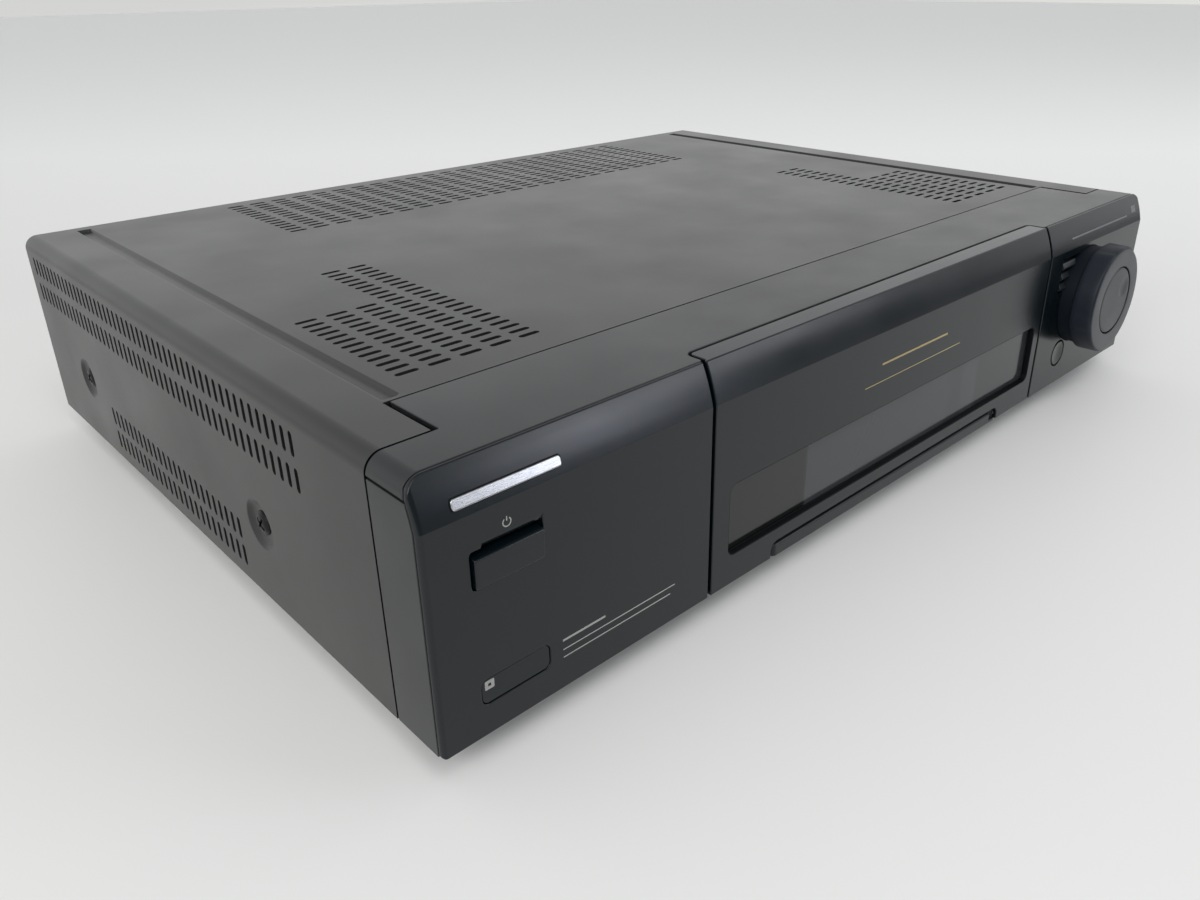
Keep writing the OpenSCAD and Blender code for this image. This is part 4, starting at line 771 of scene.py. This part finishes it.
def buildDial():
    centre = (dial["x"], 0, dial["z"])
    front, back, radius = dial["front"], dial["collarFront"] - 0.5, dial["ringR"]
    collarR, bore = dial["collarR"], dial["hubR"] + 0.05
    lip = dial["collarFront"]
    collar = [(bore, lip + 1.2), (collarR - 2.5, lip + 1.2), (collarR - 2.5, lip + 0.3), (collarR - 2.2, lip),
              (collarR - 0.5, lip), (collarR, lip + 0.5), (collarR, 2), (19, 2), (19, 6), (bore, 6)]
    # the collar's near-black is partly its own black and partly painted shade
    piece("dialCollar", turned(collar, centre, 128, closed=True), finishes["collarBlackAndShade"],
          replaces=["dial_collar"], slot="black_plastic")
    well, floor, shaft = ring["wellR"], ring["wellFloor"], dial["shaftR"] + 0.05
    side = [(radius, front + 1.6 + i * (back - front - 2.2) / 4) for i in range(5)]
    profile = [(shaft, floor), (well, floor), (well, front + 0.7), (well + 0.2, front + 0.2),
               (well + 0.7, front), (radius - 1.7, front), (radius - 0.9, front + 0.25),
               (radius - 0.3, front + 0.8)] + side + [
                   (radius - 0.4, back), (dial["hubR"], back), (dial["hubR"], 6.6), (shaft, 6.6)]
    shape = turned(profile, centre, 160, closed=True)
    # the finger lugs swell the ring's side
    for v in shape.verts:
        reach = Vector((v.co.x - dial["x"], v.co.z - dial["z"]))
        if reach.length > radius - 1.2 and v.co.y > front + 0.5:
            angle = math.degrees(math.atan2(reach.y, reach.x)) % 360
            rise = sum(math.exp(-((min(abs(angle - a), 360 - abs(angle - a)) / width) ** 4))
                       for a, width in ring["lugs"])
            reach *= 1 + ring["lugRise"] * min(rise, 1) / reach.length
            v.co.x, v.co.z = dial["x"] + reach.x, dial["z"] + reach.y
    item = piece("shuttleRing", shape, finishes["dialSide"], "shuttle", ["shuttle_ring"], "knob_metal")
    paint(item, finishes["dialFace"], lambda c, n: n.y < -0.9 and c.y < front + 0.4)
    jog = dial["jogR"]
    face = [(i * 14.8 / 14, front + 0.2) for i in range(15)]
    profile = face + [(jog - 0.35, front + 0.35), (jog, front + 0.8), (jog, front + 4), (5, front + 4),
                      (5, 7.6), (4, 7.6), (4, 9.6), (0, 9.6)]
    disk = turned(profile, centre, 96)
    for v in disk.verts:
        away = math.hypot(v.co.x - dial["x"] - thumbDish["x"], v.co.z - dial["z"] - thumbDish["z"])
        if v.co.y < front + 0.25 and away < thumbDish["r"]:
            v.co.y += thumbDish["depth"] * (1 - (away / thumbDish["r"]) ** 2)
    piece("jogDisc", disk, finishes["jogFace"], "jog", ["jog_disc"], "knob_metal")


# Cover

cover = {
    "t": 1.0, "front": 22.4, "cutSide": 195.4, "cutDepth": 45.8,
    "grooveX": (188.9, 194.5), "grooveY": (47.4, 311.0), "grooveD": 1.4, "grooveSlope": 0.9,
    "grooveEdge": 0.35,
    "screwY": (97.5, 264.5), "screwZ": 29.0, "dishR": 9.0, "dishD": 1.6,
}
# The slots: the blocks near the front have short and long columns, the sides rows of different lengths
vents = {
    "l": 8.0, "w": 2.15, "pitchLong": 11.2, "pitchWide": 5.16, "sidePitch": 5.1,
    "blockX": 179.0, "blockY": 60.0, "blockColumns": [13, 13, 13, 22, 22],
    "rearY": 240.0, "rearColumns": 23, "rearRows": 14,
    "sideRows": [(69.7, 62.5, 49), (58.2, 62.5, 49), (19.8, 116, 25), (9.2, 116, 25)],
}


def coverShape():
    top, slope = case["top"], cover["grooveSlope"]
    inner, outer = cover["grooveX"]
    right = [(case["side"], 0)] + caseArc(case["side"], top, case["cornerR"], 16)
    right += [(cover["cutSide"], top), (outer, top), (outer - slope, top), (inner + slope, top), (inner, top)]
    bm = sheetAlong(mirroredPath(right), cover["front"], case["depth"])
    low, high = cover["grooveY"]
    for y in (cover["cutDepth"], low, low + slope, high - slope, high):
        split(bm, (0, y, 0), (0, 1, 0))
    dropFaces(bm, lambda c: c.y < cover["cutDepth"] and abs(c.x) < cover["cutSide"] and c.z > top - 0.1)
    for v in bm.verts:
        inside = inner + slope - 0.01 < abs(v.co.x) < outer - slope + 0.01
        if inside and low + slope - 0.01 < v.co.y < high - slope + 0.01:
            v.co.z -= cover["grooveD"]
    groove = [e for e in bm.edges if all(
        inner - 0.1 < abs(v.co.x) < outer + 0.1 and low - 0.1 < v.co.y < high + 0.1 for v in e.verts)]
    bmesh.ops.bevel(bm, geom=groove, offset=cover["grooveEdge"], segments=2, profile=0.5, affect="EDGES",
                    material=-1, clamp_overlap=True)
    return thickened(bm, cover["t"])


def ventSlot(length, width, deep):
    # one slot cutter, lying along x and standing along z, with few sides because there are hundreds
    bm = bmesh.new()
    half, r = length / 2 - width / 2, width / 2
    points = [(half + r * math.cos(math.radians(a)), r * math.sin(math.radians(a)))
              for a in (-90, -45, 0, 45, 90)]
    points += [(-x, -z) for x, z in points]
    carried(bm, outline(bm, "xy", points, -deep / 2), "xy", deep)
    bmesh.ops.recalc_face_normals(bm, faces=bm.faces)
    mesh = bpy.data.meshes.new("ventSlot")
    bm.to_mesh(mesh)
    bm.free()
    return mesh


def stamped(mesh, matrices):
    # copies of one mesh, each placed by its matrix
    whole = bmesh.new()
    for matrix in matrices:
        before = len(whole.verts)
        whole.from_mesh(mesh)
        whole.verts.ensure_lookup_table()
        bmesh.ops.transform(whole, matrix=matrix, verts=whole.verts[before:])
    return whole


def ventCutters():
    upright = Matrix.Rotation(math.radians(90), 4, "Y")
    places = []
    for side in (-1, 1):
        for column, rows in enumerate(vents["blockColumns"]):
            x = side * (vents["blockX"] - column * vents["pitchLong"])
            places += [Matrix.Translation((x, vents["blockY"] + row * vents["pitchWide"], case["top"]))
                       for row in range(rows)]
        for z, start, count in vents["sideRows"]:
            places += [Matrix.Translation((side * case["side"], start + i * vents["sidePitch"], z)) @ upright
                       for i in range(count)]
    reach = vents["rearColumns"] // 2
    for column in range(-reach, reach + 1):
        places += [Matrix.Translation((column * vents["pitchLong"], vents["rearY"] + row * vents["pitchWide"],
                                       case["top"])) for row in range(vents["rearRows"])]
    slot = ventSlot(vents["l"], vents["w"], 6)
    whole = stamped(slot, places)
    bpy.data.meshes.remove(slot)
    return whole


def dishes(profile, steps=48):
    # the same turned shape at each of the four side screws
    def oneSide():
        return gather(*[turned(profile, (0, y, cover["screwZ"]), steps, "x") for y in cover["screwY"]])
    return both(oneSide)


def buildCover():
    side, r, deep = case["side"], cover["dishR"], cover["dishD"]
    item = makeObject("coverShell", coverShape())
    boss = [(0, side - 3.2), (r - 1, side - 3.2), (r + 1, side - 1.6), (r + 1, side - 0.5), (0, side - 0.5)]
    dish = [(0, side - 6), (2, side - 6), (2, side - deep), (5.2, side - deep), (6.4, side - deep + 0.12),
            (7.6, side - deep + 0.6), (r - 0.5, side - 0.25), (r, side + 0.01), (r, side + 2), (0, side + 2)]
    cut(item, dishes(boss, 44), operation="UNION")
    cut(item, dishes(dish), ventCutters())
    finished(item, finishes["coverPaint"], "case", ["top_cover"])
    # the cover's front end faces at the seam are painted near-black as shade
    paint(item, finishes["paintedShadeBlack"], lambda c, n: n.y < -0.7 and c.y < cover["front"] + 0.1)


# Screws and feet
screws = {
    "coverHead": {"radius": 4.2, "height": 1.4, "shank": 1.9, "length": 9},
    "rearHead": {"radius": 3.6, "height": 1.6, "shank": 1.6, "length": 7},
    "slotW": 1.0, "slotD": 0.9, "turns": (0.4, 0.9), "rearX": (-201, -60, 201), "rearY": 316.6, "rearZ": 71,
    "edge": 0.12,
}
feet = {
    "x": 185, "y": {"front": 36, "rear": 275},
    "profile": [(0, -7), (3.4, -7), (3.4, -10.7), (3.8, -11), (9.4, -11), (9.8, -10.4), (10.4, -10.4),
                (10.8, -11), (12.4, -11), (12.9, -10.7), (13.1, -10.1), (13.5, -4.2), (13.9, -3.9),
                (14, -0.8), (13.7, 0), (4, 0), (4, 4), (0, 4)],
}


def crossHead(radius, height, shank, length):
    profile = [(0, height), (radius * 0.45, height - 0.06), (radius * 0.8, height * 0.72),
               (radius, height * 0.2), (radius, 0), (shank, 0), (shank, -length), (0, -length)]
    head = makeObject("head", turned(profile, (0, 0, 0), 40, "x"))
    arm, half = radius * 0.6, screws["slotW"] / 2
    deep = (height - screws["slotD"], height + 1)
    cut(head, box(deep, (-arm, arm), (-half, half)), box(deep, (-half, half), (-arm, arm)))
    mesh = head.data
    bpy.data.objects.remove(head)
    return mesh


def buildScrews():
    seat = case["side"] - cover["dishD"]
    rightTurn, leftTurn = screws["turns"]
    places = []
    for y in cover["screwY"]:
        places.append(Matrix.Translation((seat, y, cover["screwZ"])) @ Matrix.Rotation(rightTurn, 4, "X"))
        places.append(Matrix.Translation((-seat, y, cover["screwZ"])) @ Matrix.Rotation(math.pi, 4, "Z")
                      @ Matrix.Rotation(leftTurn, 4, "X"))
    backwards = Matrix.Rotation(math.radians(90), 4, "Z")
    back = [Matrix.Translation((x, screws["rearY"], screws["rearZ"])) @ backwards for x in screws["rearX"]]
    for name, head, spots, node in (("coverScrews", "coverHead", places, "cover_screws"),
                                    ("rearScrews", "rearHead", back, "rear_screws")):
        piece(name, stamped(crossHead(**screws[head]), spots), finishes["screwBlack"], replaces=[node],
              slot="black_screw", edge=screws["edge"])


def buildFeet():
    for side, name in ((-1, "left"), (1, "right")):
        for end, y in feet["y"].items():
            shape = turned(feet["profile"], (side * feet["x"], y, 0), 64, "z")
            piece(end + name.capitalize() + "Foot", shape, finishes["footRubber"],
                  replaces=["foot_%s_%s" % (end, name)], slot="rubber")


# Printed bars and marks

prints = {
    "left": [((-174, -158), 16.3, 0.7), ((-174, -129), 13.2, 0.35), ((-174, -131), 10.6, 0.35)],
    "door": [((-21, 25), 55.4, 0.8), ((-31, 36), 48.6, 0.35)],
    "right": [((134, 197), 72.6, 0.7), ((203, 208), 74.6, 3.2)],
    "thick": 0.06, "sunk": 0.02, "barR": 0.15,
}
powerMark = {"x": -190, "z": 61.6, "r": 1.4, "w": 0.32, "gap": 76}
badge = {"x": (-205, -171.5), "z": (70.4, 73.2), "r": 0.9, "proud": 0.5, "rim": 0.35, "edge": 0.2}
sensorMark = {"x": (-200.4, -197.4), "z": (14.4, 17.2), "y": (0.2, 0.32), "r": 0.3, "holeX": (-199.4, -198.4),
              "holeZ": (15.3, 16.3)}


def printedBars(rows):
    return gather(*[leanBack(solid("xz", corners(x, (z - h / 2, z + h / 2)), -prints["thick"], prints["sunk"],
                                   everyCorner(min(prints["barR"], h / 2.2)), 3)) for x, z, h in rows])


def powerSymbol(x, z, radius, width):
    # a broken ring with an upright stroke at its gap
    bm = bmesh.new()
    steps, gap, thick = 22, powerMark["gap"], prints["thick"]
    sweep = [math.radians(90 + gap / 2 + (360 - gap) * i / steps) for i in range(steps + 1)]
    outer = [(x + radius * math.cos(a), z + radius * math.sin(a)) for a in sweep]
    small = radius - width
    inner = [(x + small * math.cos(a), z + small * math.sin(a)) for a in reversed(sweep)]
    carried(bm, outline(bm, "xz", outer + inner, -thick), "xz", thick + prints["sunk"])
    bmesh.ops.recalc_face_normals(bm, faces=bm.faces)
    return gather(bm, box((x - width / 2, x + width / 2), (-thick, prints["sunk"]),
                          (z + radius * 0.25, z + radius * 1.15)))


def badgeShape(grow, proud, radius):
    return leanBack(solid("xz", corners(widened(badge["x"], grow), widened(badge["z"], grow)), -proud, 0.3,
                          everyCorner(radius), 5))


def buildPrints():
    symbol = powerSymbol(powerMark["x"], powerMark["z"], powerMark["r"], powerMark["w"])
    piece("leftPrints", gather(printedBars(prints["left"]), symbol), finishes["printGrey"],
          slot="face_plastic")
    piece("doorPrints", printedBars(prints["door"]), finishes["printGold"], "door", slot="face_plastic")
    piece("rightPrints", printedBars(prints["right"]), finishes["printDim"], slot="face_plastic")
    # a near-black rim round the badge, painted as shade at its edge
    piece("badgeSeat", badgeShape(badge["rim"], 0.1, badge["r"] + 0.2), finishes["paintedShadeBlack"],
          slot="face_plastic")
    piece("plainBadge", badgeShape(0, badge["proud"], badge["r"]), finishes["badgeSilver"], slot="polished",
          edge=badge["edge"], segments=3)
    mark = solid("xz", corners(sensorMark["x"], sensorMark["z"]), *sensorMark["y"],
                 everyCorner(sensorMark["r"]), 3)
    piece("sensorMark", mark, finishes["printGrey"], slot="smoked_window",
          cuts=[solid("xz", corners(sensorMark["holeX"], sensorMark["holeZ"]), 0, 1)])


buildFaces()
print("face plates made")
buildBezel()
buildDoor()
buildHingeBar()
print("bezel and door made")
buildKeys()
buildDial()
print("keys and dial made")
buildCover()
buildScrews()
buildFeet()
print("cover, screws and feet made")
buildPrints()

# Camera and light


# The camera as solved from the photo's straight edges: its place and its three directions
photoView = {
    "place": (-0.30877, -0.32254, 0.19673), "right": (0.7218, -0.69205, -0.00855),
    "down": (-0.29043, -0.29166, -0.91137), "forward": (0.62822, 0.66031, -0.41151),
    "lens": 28.71, "sensor": 36, "shift": (-0.0238, -0.0388), "clip": (0.01, 50),
}
# Each lamp's place, target, size, power in watts and tint
lamps = {
    "frontPanel": [(1.15, -1.5, 0.75), (-0.1, -0.15, 0.08), (0.9, 0.8), 6.5, (0.93, 0.95, 1)],
    "lowPanel": [(1.02, -1.76, 0.29), (-0.15, -0.15, 0.08), (0.4, 0.5), 2.7, (0.84, 0.87, 1)],
    "topFill": [(-0.5, -1.3, 1.8), (0.1, -0.2, 0), (1.0, 1.0), 12, (1, 1, 1)],
    "sideFill": [(-1.6, -0.7, 1.1), (-0.5, 0.1, 0), (1.0, 1.0), 14, (1, 0.995, 0.98)],
}
# The room's tones by direction: a pale one, dimmer towards the ceiling and dark on the camera's side
room = {
    "pale": (0.97, 0.975, 0.98), "ceiling": (0.5, 0.505, 0.51), "ceilingFrom": (0.35, 0.75),
    "behind": (0.27, 0.28, 0.3), "behindFrom": (-0.4, -0.5),
    "wallLeft": (0.655, 0.66, 0.65), "wallRight": (0.75, 0.745, 0.73), "wallFrom": (0.35, 0.85),
}
# far and paintedLightFrom give the floor a painted pool of light towards the back right
floorTones = {
    "light": (0.84, 0.84, 0.825), "dark": (0.80, 0.80, 0.78), "blotch": 2.2, "rough": 0.55,
    "far": (1.0, 1.0, 0.985), "paintedLightFrom": (0.25, 1.0), "beyond": (0.2, 0.2, 0.21), "beyondFrom": (-0.42, -0.5),
}


def makeCamera():
    data = bpy.data.cameras.new("photoCamera")
    data.lens = photoView["lens"]
    data.sensor_width = photoView["sensor"]
    data.shift_x, data.shift_y = photoView["shift"]
    data.clip_start, data.clip_end = photoView["clip"]
    camera = bpy.data.objects.new("photoCamera", data)
    right, down, forward = Vector(photoView["right"]), Vector(photoView["down"]), Vector(photoView["forward"])
    turn = Matrix((right, -down, -forward)).transposed().to_4x4()
    camera.matrix_world = Matrix.Translation(photoView["place"]) @ turn
    bpy.context.scene.collection.objects.link(camera)
    bpy.context.scene.camera = camera


def areaLamp(name, place, target, size, power, tint):
    data = bpy.data.lights.new(name, "AREA")
    data.shape = "RECTANGLE"
    data.size, data.size_y = size
    data.energy = power
    data.color = tint
    lamp = bpy.data.objects.new(name, data)
    aim = (Vector(target) - Vector(place)).to_track_quat("-Z", "Y").to_matrix().to_4x4()
    lamp.matrix_world = Matrix.Translation(place) @ aim
    bpy.context.scene.collection.objects.link(lamp)


def makeLight():
    world = bpy.data.worlds.new("paleRoom")
    bpy.context.scene.world = world
    world.use_nodes = True
    nodes, links = world.node_tree.nodes, world.node_tree.links
    place = nodes.new("ShaderNodeTexCoord")
    axes = nodes.new("ShaderNodeSeparateXYZ")
    links.new(place.outputs["Generated"], axes.inputs["Vector"])
    dim = blend(nodes, links, rampAt(nodes, links, axes.outputs["Z"], *room["ceilingFrom"]), room["pale"],
                room["ceiling"])
    behind = rampAt(nodes, links, axes.outputs["Y"], *room["behindFrom"])
    nodes["Background"].inputs["Strength"].default_value = 1.0
    links.new(blendOver(nodes, links, behind, dim, room["behind"]), nodes["Background"].inputs["Color"])
    # the camera itself sees a pale wall, painted lighter towards the right where more light falls on it
    seen = nodes.new("ShaderNodeBackground")
    seen.inputs["Strength"].default_value = 1.0
    links.new(blend(nodes, links, rampAt(nodes, links, axes.outputs["X"], *room["wallFrom"]),
                    room["wallLeft"], room["wallRight"]), seen.inputs["Color"])
    rays = nodes.new("ShaderNodeLightPath")
    either = nodes.new("ShaderNodeMixShader")
    links.new(rays.outputs["Is Camera Ray"], either.inputs["Fac"])
    links.new(nodes["Background"].outputs["Background"], either.inputs[1])
    links.new(seen.outputs["Background"], either.inputs[2])
    links.new(either.outputs["Shader"], nodes["World Output"].inputs["Surface"])
    for name, settings in lamps.items():
        areaLamp(name, *settings)


def mathAt(nodes, links, operation, first, second):
    step = nodes.new("ShaderNodeMath")
    step.operation = operation
    for socket, value in zip(step.inputs, (first, second)):
        if isinstance(value, (int, float)):
            socket.default_value = value
        else:
            links.new(value, socket)
    return step.outputs["Value"]


def makeFloor():
    bm = bmesh.new()
    bmesh.ops.create_grid(bm, x_segments=1, y_segments=1, size=6)
    floor = makeObject("paleFloor", bm)
    material, nodes, links, shader = newMaterial("paleFloor")
    tone = noiseAt(nodes, links, floorTones["blotch"], 3.0)
    place = nodes.new("ShaderNodeTexCoord")
    axes = nodes.new("ShaderNodeSeparateXYZ")
    links.new(place.outputs["Object"], axes.inputs["Vector"])
    near = blend(nodes, links, tone.outputs["Fac"], floorTones["dark"], floorTones["light"])
    # the floor is painted paler towards the back right, a painted pool of light
    diagonal = mathAt(nodes, links, "ADD", axes.outputs["X"], axes.outputs["Y"])
    pale = blendOver(nodes, links, rampAt(nodes, links, diagonal, *floorTones["paintedLightFrom"]), near,
                     floorTones["far"])
    # behind the camera the table ends, which only reflections show
    rays = nodes.new("ShaderNodeLightPath")
    unseen = mathAt(nodes, links, "SUBTRACT", 1, rays.outputs["Is Camera Ray"])
    edge = rampAt(nodes, links, axes.outputs["Y"], *floorTones["beyondFrom"])
    beyond = mathAt(nodes, links, "MULTIPLY", edge, unseen)
    links.new(blendOver(nodes, links, beyond, pale, floorTones["beyond"]), shader.inputs["Base Color"])
    shader.inputs["Roughness"].default_value = floorTones["rough"]
    floor.data.materials.append(material)


makeCamera()
makeLight()
makeFloor()
bpy.context.scene.view_settings.view_transform = "Standard"
print("camera, floor and light placed")
